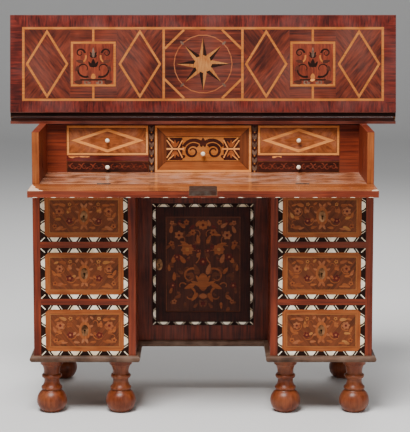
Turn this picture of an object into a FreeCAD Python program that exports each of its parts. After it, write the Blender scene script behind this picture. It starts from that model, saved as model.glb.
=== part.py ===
# Kneehole pedestal desk with a folding top, shown open. Millimetres, +Z up, the front faces -Y.
# The origin is on the floor, in the middle of the open desk.
import FreeCAD, Part
import os
import re

import Sketcher

doc = FreeCAD.newDocument("PedestalDesk")

# Driving sizes, one named cell each.
sizes = {
    # case
    "case_width": 950,
    "case_depth": 490,
    "pedestal_width": 286,
    "side_thickness": 20,
    "back_thickness": 12,
    "bed_thickness": 18,
    "stay_slot_width": 14,
    "stay_slot_height": 78,
    "stay_slot_depth": 6,
    "stay_slot_setback": 88,
    "stay_slot_rise": 34,
    # pedestals
    "drawer_opening_height": 145,
    "rail_height": 17,
    "divider_depth": 60,
    "runner_width": 24,
    # feet and plinth
    "foot_height": 152,
    "foot_ball_diameter": 86,
    "foot_inset": 45,
    "spigot_diameter": 20,
    "spigot_length": 13,
    "spigot_clearance": 0.1,
    "plinth_height": 18,
    "plinth_overhang": 12,
    # kneehole and its cupboard
    "recess_depth": 200,
    "frame_thickness": 20,
    "frame_stile_width": 41,
    "frame_bottom_rail": 44,
    "door_opening_height": 360,
    "door_play": 1,
    "door_thickness": 20,
    "door_rail_width": 38,
    "door_panel_thickness": 12,
    "door_panel_sink": 3,
    "door_hinge_spacing": 240,
    # folding top
    "top_side_overhang": 84,
    "top_thickness": 18,
    "top_back_overhang": 28,
    "top_edge_radius": 9,
    "joint_setback": 247,
    "top_front_overhang": 48,
    "lid_seat_gap": 0.3,
    "lid_joint_gap": 0.6,
    "lid_axis_rise": 1,
    "lid_open_angle": 96.5,
    "lip_depth": 12,
    "lip_thickness": 8,
    "plate_thickness": 3,
    "plate_length": 46,
    "plate_clearance": 1,
    "plate_gap": 0.2,
    "eye_radius": 4.5,
    "eye_clearance": 0.4,
    "lid_pin_radius": 1.6,
    # flap
    "flap_thickness": 18,
    "flap_clearance": 1.2,
    "flap_hinge_spacing": 552,
    "flap_lock_width": 76,
    "flap_lock_depth": 104,
    "flap_lock_thickness": 13,
    "flap_bolt_width": 15,
    "flap_bolt_thickness": 6,
    "flap_bolt_length": 40,
    "flap_bolt_travel": 9,
    "flap_bolt_clearance": 0.3,
    "flap_key_inset": 58,
    # butt hinges of the flap and of the door
    "hinge_width": 38,
    "hinge_leaf_height": 14,
    "hinge_leaf_thickness": 1.5,
    "hinge_gap": 0.6,
    "knuckle_radius": 2.8,
    "knuckle_play": 0.25,
    "hinge_pin_radius": 1.3,
    "pin_clearance": 0.05,
    # pedestal drawers
    "drawer_play": 1,
    "running_gap": 0.4,
    "drawer_back_room": 48,
    "drawer_front_thickness": 20,
    "drawer_board": 10,
    "drawer_back_board": 9,
    "drawer_bottom": 6,
    "drawer_bottom_rise": 7,
    "drawer_side_drop": 10,
    "lock_width": 58,
    "lock_drop": 20,
    "lock_depth": 12,
    "bolt_width": 20,
    "bolt_thickness": 6,
    "bolt_height": 26,
    "bolt_throw": 8,
    "bolt_clearance": 0.5,
    "key_plate_width": 21,
    "key_plate_height": 34,
    "key_plate_thickness": 1.5,
    "key_hole_diameter": 6,
    "key_slot_width": 2.6,
    "key_slot_length": 9,
    # nest of small drawers
    "nest_height": 145,
    "nest_setback": 258,
    "nest_ceiling": 6,
    "nest_rail_height": 17,
    "nest_board": 8,
    "pilaster_width": 17,
    "pilaster_thickness": 4,
    "filler_thickness": 10,
    "centre_opening_width": 284,
    "filler_width": 56,
    "low_opening_height": 33,
    "small_back_room": 20,
    "small_front_thickness": 11,
    "small_board": 6,
    "small_bottom": 4,
    "small_side_drop": 4,
    "knob_diameter": 14,
    "knob_length": 15,
    "knob_shank_diameter": 5,
    "knob_shank_length": 8,
    "centre_knob_drop": 14,
}

# Places and lengths worked out from the sizes above.
derived = {
    "top_width": "case_width + 2 * top_side_overhang",
    "kneehole_width": "case_width - 2 * pedestal_width",
    "pedestal_opening": "pedestal_width - 2 * side_thickness",
    "inner_width": "case_width - 2 * side_thickness",
    "inner_depth": "case_depth - back_thickness",
    "flap_length": "nest_height - flap_clearance",
    "flap_reach": "flap_length + hinge_gap",
    "case_front": "(flap_reach - case_depth - top_back_overhang) / 2",
    "case_back": "case_front + case_depth",
    "back_face": "case_front + inner_depth",
    "plinth_top": "foot_height + plinth_height",
    "drawer_pitch": "drawer_opening_height + rail_height",
    "bed_bottom": "plinth_top + 3 * drawer_opening_height + 2 * rail_height",
    "bed_top": "bed_bottom + bed_thickness",
    "nest_top": "bed_top + nest_height",
    "top_face": "nest_top + top_thickness",
    "recess_face": "case_front + recess_depth",
    "joint_line": "case_front + joint_setback",
    "lid_depth": "joint_setback + top_front_overhang",
    "nest_front": "case_front + nest_setback",
    "nest_depth": "back_face - nest_front",
    "side_opening_width": "(inner_width - centre_opening_width) / 2 - pilaster_width - filler_width",
    "lid_axis_height": "top_face + lid_axis_rise",
    "plate_height": "top_thickness - lip_thickness - plate_clearance",
    "flap_axis": "case_front - hinge_gap / 2",
    "flap_bolt_level": "flap_lock_thickness / 2",
    "door_opening_width": "kneehole_width - 2 * frame_stile_width",
    "door_width": "door_opening_width - 2 * door_play",
    "door_height": "door_opening_height - 2 * door_play",
    "door_bottom": "plinth_top + frame_bottom_rail + door_play",
    "door_axis_x": "door_opening_width / 2 - door_play / 2",
    "drawer_depth": "inner_depth - drawer_back_room",
    "front_width": "pedestal_opening - 2 * drawer_play",
    "front_height": "drawer_opening_height - running_gap - drawer_play",
    "box_side_height": "front_height - drawer_side_drop",
    "lock_height": "front_height / 2 + lock_drop",
    "small_drawer_depth": "nest_depth - small_back_room",
    "high_opening_height": "nest_height - low_opening_height - nest_rail_height - nest_ceiling",
    "centre_opening_height": "nest_height - nest_ceiling",
    "side_opening_centre": "(centre_opening_width + side_opening_width) / 2 + pilaster_width",
}

sheet = doc.addObject("Spreadsheet::Sheet", "Sizes")
for row, (alias, value) in enumerate(sizes.items(), start=1):
    sheet.set(f"A{row}", alias)
    sheet.set(f"B{row}", str(value))
    sheet.setAlias(f"B{row}", alias)
doc.recompute()

word = re.compile(r"\b[a-z][a-z_]*\b")


def formula(text):
    # Spells out derived names, then ties every size to its cell.
    text = str(text)
    while any(name in derived for name in word.findall(text)):
        text = word.sub(lambda hit: f"({derived[hit[0]]})" if hit[0] in derived else hit[0], text)
    return word.sub(lambda hit: f"Sizes.{hit[0]}" if hit[0] in sizes else hit[0], text)


def number(text):
    return float(sheet.evalExpression(formula(text)))


def bind(item, **properties):
    for name, text in properties.items():
        item.setExpression(name, formula(text))
    return item


def place(item, x, y, z, turn=None):
    if turn:
        item.Placement = FreeCAD.Placement(FreeCAD.Vector(), turn)
    for axis, text in zip("xyz", (x, y, z)):
        item.setExpression(f"Placement.Base.{axis}", formula(text))
    return item


# Quarter turns that lay a Z axis along X or Y, and one that points it out of the front.
along_x = FreeCAD.Rotation(FreeCAD.Vector(0, 1, 0), 90)
along_y = FreeCAD.Rotation(FreeCAD.Vector(1, 0, 0), -90)
out_of_front = FreeCAD.Rotation(FreeCAD.Vector(1, 0, 0), 90)


def board(name, middle, front, bottom, length, depth, height):
    # A plain board, given by its middle in X, its front and its underside.
    box = doc.addObject("Part::Box", name)
    bind(box, Length=length, Width=depth, Height=height)
    return place(box, f"{middle} - ({length}) / 2", front, bottom)


def rod(name, x, y, z, radius, length, turn):
    cylinder = doc.addObject("Part::Cylinder", name)
    bind(cylinder, Radius=radius, Height=length)
    return place(cylinder, x, y, z, turn)


def copy(master, name, x, y, z, turn=None):
    link = doc.addObject("App::Link", name)
    link.LinkedObject = master
    return place(link, x, y, z, turn)


def fuse(name, *pieces):
    whole = doc.addObject("Part::MultiFuse", name)
    whole.Shapes = list(pieces)
    return whole


def common(name, first, second):
    shared = doc.addObject("Part::Common", name)
    shared.Base = first
    shared.Tool = second
    return shared


def cut(name, blank, *tools):
    for count, tool in enumerate(tools, start=1):
        step = doc.addObject("Part::Cut", f"{name}_cut_{count}")
        step.Base = blank
        step.Tool = tool
        blank = step
    return blank


def group(name, *pieces):
    compound = doc.addObject("Part::Compound", name)
    compound.Links = list(pieces)
    return compound


def mirrored(name, source):
    twin = doc.addObject("Part::Mirroring", name)
    twin.Source = source
    twin.Normal = FreeCAD.Vector(1, 0, 0)
    return twin


nodes = []


def node(label, item):
    item.Label = label
    nodes.append(item)
    return item


def outline_sketch(body, name, role, outline):
    # A closed outline of (x, y, bulge) points. The bulge is the rise of the arc towards the next point as a
    # share of its chord, positive to the right of the way round, and 0 for a straight line.
    sketch = body.newObject("Sketcher::SketchObject", name)
    plane = next(part for part in body.Origin.OriginFeatures if part.Role == role)
    sketch.AttachmentSupport = [(plane, "")]
    sketch.MapMode = "FlatFace"
    points = [FreeCAD.Vector(number(x), number(y), 0) for x, y, bulge in outline]
    starts = []
    for index, (x, y, bulge) in enumerate(outline):
        start = points[index]
        end = points[(index + 1) % len(points)]
        chord = end - start
        if bulge:
            crest = (start + end) * 0.5 + FreeCAD.Vector(chord.y, -chord.x, 0) * bulge
            edge = sketch.addGeometry(Part.Arc(start, crest, end))
        else:
            edge = sketch.addGeometry(Part.LineSegment(start, end))
        starts.append(1 if sketch.getPoint(edge, 1).isEqual(start, chord.Length / 1000) else 2)
    for index, (x, y, bulge) in enumerate(outline):
        after = (index + 1) % len(outline)
        next_x, next_y, next_bulge = outline[after]
        sketch.addConstraint(Sketcher.Constraint("Coincident", index, 3 - starts[index], after,
                                                 starts[after]))
        for kind, axis, text, place_now in (("DistanceX", -2, x, points[index].x),
                                            ("DistanceY", -1, y, points[index].y)):
            if text == 0:
                sketch.addConstraint(Sketcher.Constraint("PointOnObject", index, starts[index], axis))
                continue
            rule = sketch.addConstraint(Sketcher.Constraint(kind, -1, 1, index, starts[index], place_now))
            sketch.setExpression(f"Constraints[{rule}]", formula(text))
        if bulge:
            chord_text = f"sqrt(({next_x} - ({x})) ^ 2 + ({next_y} - ({y})) ^ 2)"
            share = 1 / (8 * abs(bulge)) + abs(bulge) / 2
            radius_text = f"{share} * {chord_text}"
            rule = sketch.addConstraint(Sketcher.Constraint("Radius", index, number(radius_text)))
            sketch.setExpression(f"Constraints[{rule}]", formula(radius_text))
    return sketch


def turned(name, outline):
    # A lathe-turned solid about Z from an outline of (radius, height, bulge) points.
    body = doc.addObject("PartDesign::Body", name)
    sketch = outline_sketch(body, f"{name}_profile", "XZ_Plane", outline)
    spin = body.newObject("PartDesign::Revolution", f"{name}_spin")
    spin.Profile = sketch
    spin.ReferenceAxis = (sketch, ["V_Axis"])
    spin.Angle = 360
    return body


def moulded_board(name, front, back, bottom, round_sides):
    # A half of the top: a board whose upper edges are rounded on the named sides.
    body = doc.addObject("PartDesign::Body", name)
    half = "top_width / 2"
    corners = ((f"-{half}", front, 0), (half, front, 0), (half, back, 0), (f"-{half}", back, 0))
    sketch = outline_sketch(body, f"{name}_plan", "XY_Plane", corners)
    pad = body.newObject("PartDesign::Pad", f"{name}_pad")
    pad.Profile = sketch
    bind(pad, Length="top_thickness")
    place(body, 0, 0, bottom)
    doc.recompute()
    inside = {"left": -number(half), "right": number(half), "front": number(front), "back": number(back)}
    names = []
    for count, edge in enumerate(pad.Shape.Edges, start=1):
        middle = edge.CenterOfMass
        top = abs(middle.z - number("top_thickness")) < number("top_thickness") / 10
        reach = {"left": middle.x, "right": middle.x, "front": middle.y, "back": middle.y}
        if top and any(abs(reach[side] - inside[side]) < number("side_thickness") / 100
                       for side in round_sides):
            names.append(f"Edge{count}")
    nose = body.newObject("PartDesign::Fillet", f"{name}_nose")
    nose.Base = (pad, names)
    bind(nose, Radius="top_edge_radius")
    return body


hands = (("left", "-1"), ("right", "1"))

# Keyhole, its domed oval plate, and the butt hinge, made once at the origin and copied where they sit.
key_round = rod("key_round", 0, "-drawer_front_thickness", 0, "key_hole_diameter / 2",
                "3 * drawer_front_thickness", along_y)
key_slot = board("key_slot", 0, "-drawer_front_thickness", "-key_slot_length", "key_slot_width",
                 "3 * drawer_front_thickness", "key_slot_length")
key_hole = fuse("key_hole", key_round, key_slot)

key_dome = doc.addObject("Part::Ellipsoid", "key_dome")
bind(key_dome, Radius1="key_plate_height / 2", Radius2="key_plate_width / 2", Radius3="key_plate_thickness")
key_half = board("key_half", 0, "-key_plate_thickness", "-key_plate_height", "2 * key_plate_width",
                 "key_plate_thickness", "2 * key_plate_height")
key_plate = cut("key_plate", common("key_plate_blank", key_dome, key_half), key_hole)

knuckle_length = "(hinge_width - 2 * knuckle_play) / 3"
knuckle_step = f"({knuckle_length} + knuckle_play)"


def knuckle(name, shift, radius, longer):
    length = f"{knuckle_length} + {longer}"
    return rod(name, f"{shift} * {knuckle_step} - ({length}) / 2", 0, 0, radius, length, along_x)


def hinge_leaf(name, side, own, other, bore):
    # A leaf that hangs from its knuckles, relieved where the other leaf's knuckles turn.
    leaf = board(f"{name}_leaf", 0,
                 f"{side} * (hinge_gap + hinge_leaf_thickness) / 2 - hinge_leaf_thickness / 2",
                 "-hinge_leaf_height", "hinge_width", "hinge_leaf_thickness", "hinge_leaf_height")
    relief = [knuckle(f"{name}_relief_{n}", n, "knuckle_radius + knuckle_play", "2 * knuckle_play")
              for n in other]
    plain = cut(f"{name}_plain", leaf, *relief)
    barrels = [knuckle(f"{name}_barrel_{n}", n, "knuckle_radius", "0") for n in own]
    hole = rod(f"{name}_bore", "-hinge_width", 0, 0, bore, "2 * hinge_width", along_x)
    return cut(name, fuse(f"{name}_blank", plain, *barrels), hole)


still_leaf = hinge_leaf("still_leaf", "1", (-1, 1), (0,), "hinge_pin_radius")
moving_leaf = hinge_leaf("moving_leaf", "-1", (0,), (-1, 1), "hinge_pin_radius + pin_clearance")
hinge_pin = rod("hinge_pin", "-hinge_width / 2", 0, 0, "hinge_pin_radius", "hinge_width", along_x)
still_half = group("still_half", still_leaf, hinge_pin)
hinge_pocket = fuse(
    "hinge_pocket",
    board("pocket_slot", 0, "-hinge_gap / 2 - hinge_leaf_thickness", "-hinge_leaf_height", "hinge_width",
          "hinge_gap + 2 * hinge_leaf_thickness", "hinge_leaf_height"),
    rod("pocket_round", "-hinge_width / 2 - knuckle_play", 0, 0, "knuckle_radius + knuckle_play",
        "hinge_width + 2 * knuckle_play", along_x),
)

# Case sides. The outer ones run up past the bed and carry a slot for the stay in their inner faces.
for hand, sign in hands:
    blank = board(f"{hand}_side_blank", f"{sign} * (case_width - side_thickness) / 2", "case_front",
                  "plinth_top", "side_thickness", "inner_depth", "nest_top - plinth_top")
    slot = board(f"{hand}_stay_slot", f"{sign} * (inner_width + stay_slot_depth) / 2",
                 "case_front + stay_slot_setback", "bed_top + stay_slot_rise",
                 "stay_slot_depth", "stay_slot_width", "stay_slot_height")
    node(f"{hand}_outer_side", cut(f"{hand}_side", blank, slot))
    node(f"{hand}_inner_side", board(
        f"{hand}_inner_board", f"{sign} * (kneehole_width + side_thickness) / 2", "case_front", "plinth_top",
        "side_thickness", "inner_depth", "bed_bottom - plinth_top"))

# Turned feet: four in front, and two behind at the outer corners.
foot_shares = (
    (0, 0, 0), (0.56, 0, 0.27), (0.66, 0.4, 0), (0.62, 0.415, 0.3), (0.62, 0.49, -0.12), (0.52, 0.63, 0.4),
    (0.54, 0.72, -0.1), (0.66, 0.89, 0), (0.74, 0.9, 0), (0.76, 0.94, -0.2), (0.87, 0.97, 0), (0.88, 1, 0),
)
foot_outline = [(f"{r} * foot_ball_diameter / 2" if r else 0, f"{h} * foot_height" if h else 0, bulge)
                for r, h, bulge in foot_shares]
foot_outline += [("spigot_diameter / 2", "foot_height", 0),
                 ("spigot_diameter / 2", "foot_height + spigot_length", 0),
                 (0, "foot_height + spigot_length", 0)]
foot = turned("turned_foot", foot_outline)
outer_foot = "(case_width / 2 - foot_inset)"
inner_foot = "(kneehole_width / 2 + foot_inset)"
front_row = "case_front + foot_inset"
back_row = "case_back - foot_inset"
foot_spots = {
    "front_feet": [(f"{sign} * {reach}", front_row) for hand, sign in hands
                   for reach in (outer_foot, inner_foot)],
    "back_feet": [(f"{sign} * {outer_foot}", back_row) for hand, sign in hands],
}
for name, spots in foot_spots.items():
    node(name, group(f"{name}_set", *(copy(foot, f"{name}_{n}", x, y, 0)
                                      for n, (x, y) in enumerate(spots))))

# Pedestal bottoms with the sockets for the feet, and the cupboard bottom between them.
spigot_hole = rod("spigot_hole", 0, 0, "foot_height", "spigot_diameter / 2 + spigot_clearance",
                  "spigot_length + spigot_clearance", FreeCAD.Rotation())
bottoms = []
for hand, sign in hands:
    blank = board(f"{hand}_bottom_blank", f"{sign} * (case_width - pedestal_width) / 2", "case_front",
                  "foot_height", "pedestal_width", "case_depth", "plinth_height")
    spots = ((outer_foot, front_row), (inner_foot, front_row), (outer_foot, back_row))
    sockets = [copy(spigot_hole, f"{hand}_socket_{n}", f"{sign} * {x}", y, "foot_height")
               for n, (x, y) in enumerate(spots)]
    bottoms.append(cut(f"{hand}_bottom", blank, *sockets))
node("pedestal_bottoms", group("bottoms", *bottoms))
node("cupboard_bottom", board("cupboard_floor", 0, "recess_face", "foot_height", "kneehole_width",
                              "case_depth - recess_depth", "plinth_height"))

# Plinth moulding: half-round lengths, mitred where they meet. Each is laid along +X with its round side
# towards +Y, then turned. An end is -1 at an outer corner, 1 at an inner corner and 0 where it is square.
nose_radius = "plinth_height / 2"


def plinth_length(name, length, start, end, x, y, degrees):
    flat = board(f"{name}_flat", f"({length}) / 2", 0, 0, f"{length} + 2 * plinth_overhang",
                 f"plinth_overhang - {nose_radius}", "plinth_height")
    nose = rod(f"{name}_nose", "-plinth_overhang", f"plinth_overhang - {nose_radius}", nose_radius,
               nose_radius, f"{length} + 2 * plinth_overhang", along_x)
    plan = doc.addObject("Part::Wedge", f"{name}_plan")
    bind(plan, Xmin="0", Xmax=length, X2min=f"{start} * plinth_overhang",
         X2max=f"{length} - {end} * plinth_overhang",
         Ymin="0", Ymax="plinth_overhang", Zmin="0", Zmax="plinth_height", Z2min="0", Z2max="plinth_height")
    strip = common(f"{name}_strip", fuse(f"{name}_blank", flat, nose), plan)
    return copy(strip, name, x, y, "foot_height", FreeCAD.Rotation(FreeCAD.Vector(0, 0, 1), degrees))


outer = "case_width / 2"
inner = "kneehole_width / 2"
node("plinth_moulding", group(
    "plinth_lengths",
    plinth_length("left_outer_plinth", "case_depth", -1, 0, f"-{outer}", "case_front", 90),
    plinth_length("left_front_plinth", "pedestal_width", -1, -1, f"-{inner}", "case_front", 180),
    plinth_length("left_return_plinth", "recess_depth", 1, -1, f"-{inner}", "recess_face", 270),
    plinth_length("centre_plinth", "kneehole_width", 1, 1, inner, "recess_face", 180),
    plinth_length("right_return_plinth", "recess_depth", -1, 1, inner, "case_front", 90),
    plinth_length("right_front_plinth", "pedestal_width", -1, -1, outer, "case_front", 180),
    plinth_length("right_outer_plinth", "case_depth", 0, -1, outer, "case_back", 270),
))

# Writing bed, with pockets for the flap hinges and mortises for the top drawers' bolts.
pedestal_middle = "(case_width - pedestal_width) / 2"
bolt_front = "case_front + drawer_front_thickness + (lock_depth - bolt_thickness) / 2"


def bolt_mortise(name, middle, level):
    return board(name, middle, f"{bolt_front} - bolt_clearance", level, "bolt_width + 2 * bolt_clearance",
                 "bolt_thickness + 2 * bolt_clearance", "bolt_throw + bolt_clearance")


flap_hinge_spots = [f"{sign} * flap_hinge_spacing / 2" for hand, sign in hands]
bed_blank = board("bed_blank", 0, "case_front", "bed_bottom", "inner_width", "inner_depth", "bed_thickness")
bed_pockets = [copy(hinge_pocket, f"bed_pocket_{n}", x, "flap_axis", "bed_top")
               for n, x in enumerate(flap_hinge_spots)]
bed_mortises = [bolt_mortise(f"{hand}_bed_mortise", f"{sign} * {pedestal_middle}", "bed_bottom")
                for hand, sign in hands]
node("writing_bed", cut("bed", bed_blank, *bed_pockets, *bed_mortises))
node("bed_hinge_leaves", group("bed_hinges", *(
    copy(still_half, f"bed_hinge_{n}", x, "flap_axis", "bed_top") for n, x in enumerate(flap_hinge_spots))))

# Back of three upright boards.
node("back_boards", group("backs", *(
    board(f"back_board_{n}", f"{n} * case_width / 3", "back_face", "plinth_top", "case_width / 3",
          "back_thickness", "nest_top - plinth_top") for n in (-1, 0, 1))))

# Dividers between the pedestal drawers, and the runners behind them.
dividers = []
runners = []
for hand, sign in hands:
    for level in (1, 2):
        bottom = f"plinth_top + {level} * drawer_pitch - rail_height"
        blank = board(f"{hand}_divider_{level}", f"{sign} * {pedestal_middle}", "case_front", bottom,
                      "pedestal_opening", "divider_depth", "rail_height")
        dividers.append(cut(f"{hand}_divider_{level}_mortised", blank,
                            bolt_mortise(f"{hand}_mortise_{level}", f"{sign} * {pedestal_middle}", bottom)))
        for end in (-1, 1):
            runners.append(board(
                f"{hand}_runner_{level}_{end + 1}",
                f"{sign} * {pedestal_middle} + {end} * (pedestal_opening - runner_width) / 2",
                "case_front + divider_depth", bottom, "runner_width", "inner_depth - divider_depth",
                "rail_height"))
node("drawer_dividers", group("dividers", *dividers))
node("drawer_runners", group("runners", *runners))

# Frame at the back of the kneehole, and the cupboard door hung on its right stile.
upright = FreeCAD.Rotation(FreeCAD.Matrix(0, 1, 0, 0, 0, 0, -1, 0, -1, 0, 0, 0))
door_middle = "door_bottom + door_height / 2"
door_hinge_spots = [f"{door_middle} + {sign} * door_hinge_spacing / 2" for hand, sign in hands]


def door_hinges(master, name):
    return [copy(master, f"{name}_{n}", "door_axis_x", "recess_face", z, upright)
            for n, z in enumerate(door_hinge_spots)]


stile_x = "(kneehole_width - frame_stile_width) / 2"
stiles = {hand: board(f"{hand}_frame_stile", f"{sign} * {stile_x}", "recess_face", "plinth_top",
                      "frame_stile_width",
                      "frame_thickness", "bed_bottom - plinth_top") for hand, sign in hands}
door_head = "plinth_top + frame_bottom_rail + door_opening_height"
node("kneehole_frame", group(
    "frame_pieces",
    stiles["left"],
    cut("right_frame_stile_cut", stiles["right"], *door_hinges(hinge_pocket, "frame_pocket")),
    board("frame_low_rail", 0, "recess_face", "plinth_top", "door_opening_width", "frame_thickness",
          "frame_bottom_rail"),
    board("frame_high_rail", 0, "recess_face", door_head, "door_opening_width", "frame_thickness",
          f"bed_bottom - ({door_head})"),
))
node("frame_hinge_leaves", group("frame_hinges", *door_hinges(still_half, "frame_hinge")))

door_stile_x = "(door_width - door_rail_width) / 2"
door_stiles = {hand: board(f"{hand}_door_stile", f"{sign} * {door_stile_x}", "recess_face", "door_bottom",
                           "door_rail_width", "door_thickness", "door_height") for hand, sign in hands}
door_key = copy(key_hole, "door_key", f"-{door_stile_x}", "recess_face", door_middle)
panel_width = "door_width - 2 * door_rail_width"
panel_height = "door_height - 2 * door_rail_width"
node("door_frame", group(
    "door_frame_pieces",
    cut("left_door_stile_cut", door_stiles["left"], door_key),
    cut("right_door_stile_cut", door_stiles["right"], *door_hinges(hinge_pocket, "door_pocket")),
    board("door_low_rail", 0, "recess_face", "door_bottom", panel_width, "door_thickness",
          "door_rail_width"),
    board("door_high_rail", 0, "recess_face", "door_bottom + door_height - door_rail_width", panel_width,
          "door_thickness", "door_rail_width"),
))
node("door_panel", board("door_field", 0, "recess_face + door_panel_sink", "door_bottom + door_rail_width",
                         panel_width, "door_panel_thickness", panel_height))
node("door_hinge_leaves", group("door_hinge_set", *door_hinges(moving_leaf, "door_hinge")))
node("door_lock", group(
    "door_lock_pieces",
    copy(key_plate, "door_key_plate", f"-{door_stile_x}", "recess_face", door_middle),
    board("door_lock_case", f"-{door_stile_x}", "recess_face + door_thickness",
          f"{door_middle} - lock_width / 2",
          "door_rail_width", "lock_depth", "lock_width"),
))

# Fixed rear half of the top. A thin lip under its front edge carries the lid when that is shut.
rear_blank = moulded_board("rear_top", "joint_line", "case_back + top_back_overhang", "nest_top",
                           ("left", "right", "back"))
lip = board("top_lip", 0, "joint_line - lip_depth", "nest_top", "top_width", "lip_depth", "lip_thickness")

# Lid hinges: at each end a plate let into the rear half, and an arm let into the lid that turns on the
# plate's eye. The plate is outermost and the arm's eye runs just inside it.
plate_middle = "top_width / 2 - plate_thickness / 2"
eye_middle = "top_width / 2 - plate_thickness * 3 / 2 - plate_gap"
arm_thickness = "2 * plate_thickness + plate_gap"
arm_middle = f"top_width / 2 - ({arm_thickness}) / 2"
arm_start = "(eye_radius + eye_clearance)"


def eye(name, middle, y, z, radius, thickness):
    return rod(name, f"{middle} - ({thickness}) / 2", y, z, radius, thickness, along_x)


def plate_box(name, middle, front, top, thickness, length):
    return board(name, middle, front, f"{top} - plate_height", thickness, length, "plate_height")


plate_bore = eye("plate_bore", plate_middle, "joint_line", "lid_axis_height",
                 "lid_pin_radius + pin_clearance",
                 "2 * plate_thickness")
plate = cut("hinge_plate", fuse(
    "hinge_plate_blank",
    plate_box("plate_strip", plate_middle, "joint_line", "top_face", "plate_thickness", "plate_length"),
    eye("plate_eye", plate_middle, "joint_line", "lid_axis_height", "eye_radius",
        "plate_thickness")), plate_bore)
plate_seat = plate_box("plate_seat", plate_middle, "joint_line", "top_face", "plate_thickness",
                       "plate_length")
eye_room = eye("eye_room", arm_middle, "joint_line", "lid_axis_height", "eye_radius + eye_clearance",
               f"{arm_thickness} + 2 * plate_gap")
top_cuts = [plate_seat, mirrored("plate_seat_left", plate_seat), eye_room,
            mirrored("eye_room_left", eye_room)]
node("fixed_top", cut("rear_top_board", fuse("rear_top_blank", rear_blank, lip), *top_cuts))
node("lid_hinge_plates", group("hinge_plates", plate, mirrored("hinge_plate_left", plate)))

# Lid, laid flat about its hinge axis and then turned up. Its rear edge is rebated to sit over the lip.
lid_low = "-lid_axis_rise - top_thickness"
lid_blank = moulded_board("lid_top", "-lid_depth", "-lid_joint_gap / 2", lid_low,
                          ("left", "right", "front"))
rebate_depth = "lip_depth + lid_joint_gap"
lid_rebate = board("lid_rebate", 0, f"-({rebate_depth})", lid_low, "top_width", rebate_depth,
                   "lip_thickness + lid_seat_gap")
lid_seat = board("lid_seat", 0, "-lid_depth", lid_low, "top_width", "lid_depth", "lid_seat_gap")
strike_y = "flap_axis - flap_bolt_level - joint_line"
strike_width = "flap_bolt_width + 4 * flap_bolt_clearance"
strike_depth = "flap_bolt_thickness + 4 * flap_bolt_clearance"
strike = board("strike", 0, f"{strike_y} - ({strike_depth}) / 2", lid_low, strike_width, strike_depth,
               "flap_bolt_travel + lid_seat_gap")
arm_seat = plate_box("arm_seat", arm_middle, "-plate_length", "-lid_axis_rise", arm_thickness,
                     "plate_length")
arm_room = eye("arm_room", arm_middle, 0, 0, "eye_radius + eye_clearance",
               f"{arm_thickness} + 2 * plate_gap")
lid_cuts = [lid_rebate, lid_seat, strike, arm_seat, mirrored("arm_seat_left", arm_seat),
            arm_room, mirrored("arm_room_left", arm_room)]
lid_board = cut("lid_flat", lid_blank, *lid_cuts)

arm_strip = plate_box("arm_strip", arm_middle, "-plate_length", "-lid_axis_rise", arm_thickness,
                      f"plate_length - {arm_start}")
arm_tongue = plate_box("arm_tongue", eye_middle, "-plate_length", "-lid_axis_rise", "plate_thickness",
                       "plate_length - lid_joint_gap / 2")
arm_eye = eye("arm_eye", eye_middle, 0, 0, "eye_radius", "plate_thickness")
arm_pin = rod("arm_pin", f"{eye_middle} - plate_thickness / 2", 0, 0, "lid_pin_radius", arm_thickness,
              along_x)
arm = fuse("hinge_arm", arm_strip, arm_tongue, arm_eye, arm_pin)
for label, flat in (("lid_board", [lid_board]), ("lid_hinge_arms", [arm, mirrored("hinge_arm_left", arm)])):
    raised = group(f"{label}_raised", *flat)
    turn = "rotation(vector(1; 0; 0); -lid_open_angle)"
    bind(raised, Placement=f"placement(vector(0; joint_line; lid_axis_height); {turn})")
    node(label, raised)

# Flap, level with the bed. Its lock is let into the upper face at the free edge.
flap_back = "case_front - hinge_gap"
flap_edge = f"({flap_back} - flap_length)"
flap_low = "bed_top - flap_thickness"
flap_blank = board("flap_blank", 0, flap_edge, flap_low, "case_width", "flap_length", "flap_thickness")
flap_pockets = [copy(hinge_pocket, f"flap_pocket_{n}", x, "flap_axis", "bed_top")
                for n, x in enumerate(flap_hinge_spots)]
lock_room = board("flap_lock_room", 0, flap_edge, "bed_top - flap_lock_thickness", "flap_lock_width",
                  "flap_lock_depth", "flap_lock_thickness")
facing_down = FreeCAD.Rotation(FreeCAD.Vector(1, 0, 0), 90)
flap_key_y = f"{flap_edge} + flap_key_inset"
flap_key = copy(key_hole, "flap_key", 0, flap_key_y, flap_low, facing_down)
node("flap_board", cut("flap", flap_blank, *flap_pockets, lock_room, flap_key))
node("flap_hinge_leaves", group("flap_hinges", *(
    copy(moving_leaf, f"flap_hinge_{n}", x, "flap_axis", "bed_top")
    for n, x in enumerate(flap_hinge_spots))))

bolt_low = "bed_top - flap_bolt_level - flap_bolt_thickness / 2"
lock_blank = board("flap_lock_blank", 0, flap_edge, "bed_top - flap_lock_thickness", "flap_lock_width",
                   "flap_lock_depth", "flap_lock_thickness")
bolt_way = board("flap_bolt_way", 0, flap_edge, f"{bolt_low} - flap_bolt_clearance",
                 "flap_bolt_width + 2 * flap_bolt_clearance", "flap_bolt_length + flap_bolt_clearance",
                 "flap_bolt_thickness + 2 * flap_bolt_clearance")
key_way = rod("flap_key_way", 0, flap_key_y, "bed_top - flap_lock_thickness", "key_slot_length",
              "flap_lock_thickness / 2", FreeCAD.Rotation())
node("flap_lock", group(
    "flap_lock_pieces",
    cut("flap_lock_case", lock_blank, bolt_way, key_way),
    copy(key_plate, "flap_key_plate", 0, flap_key_y, flap_low, facing_down),
))
node("flap_lock_bolt", board("flap_bolt", 0, flap_edge, bolt_low, "flap_bolt_width", "flap_bolt_length",
                             "flap_bolt_thickness"))

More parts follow.
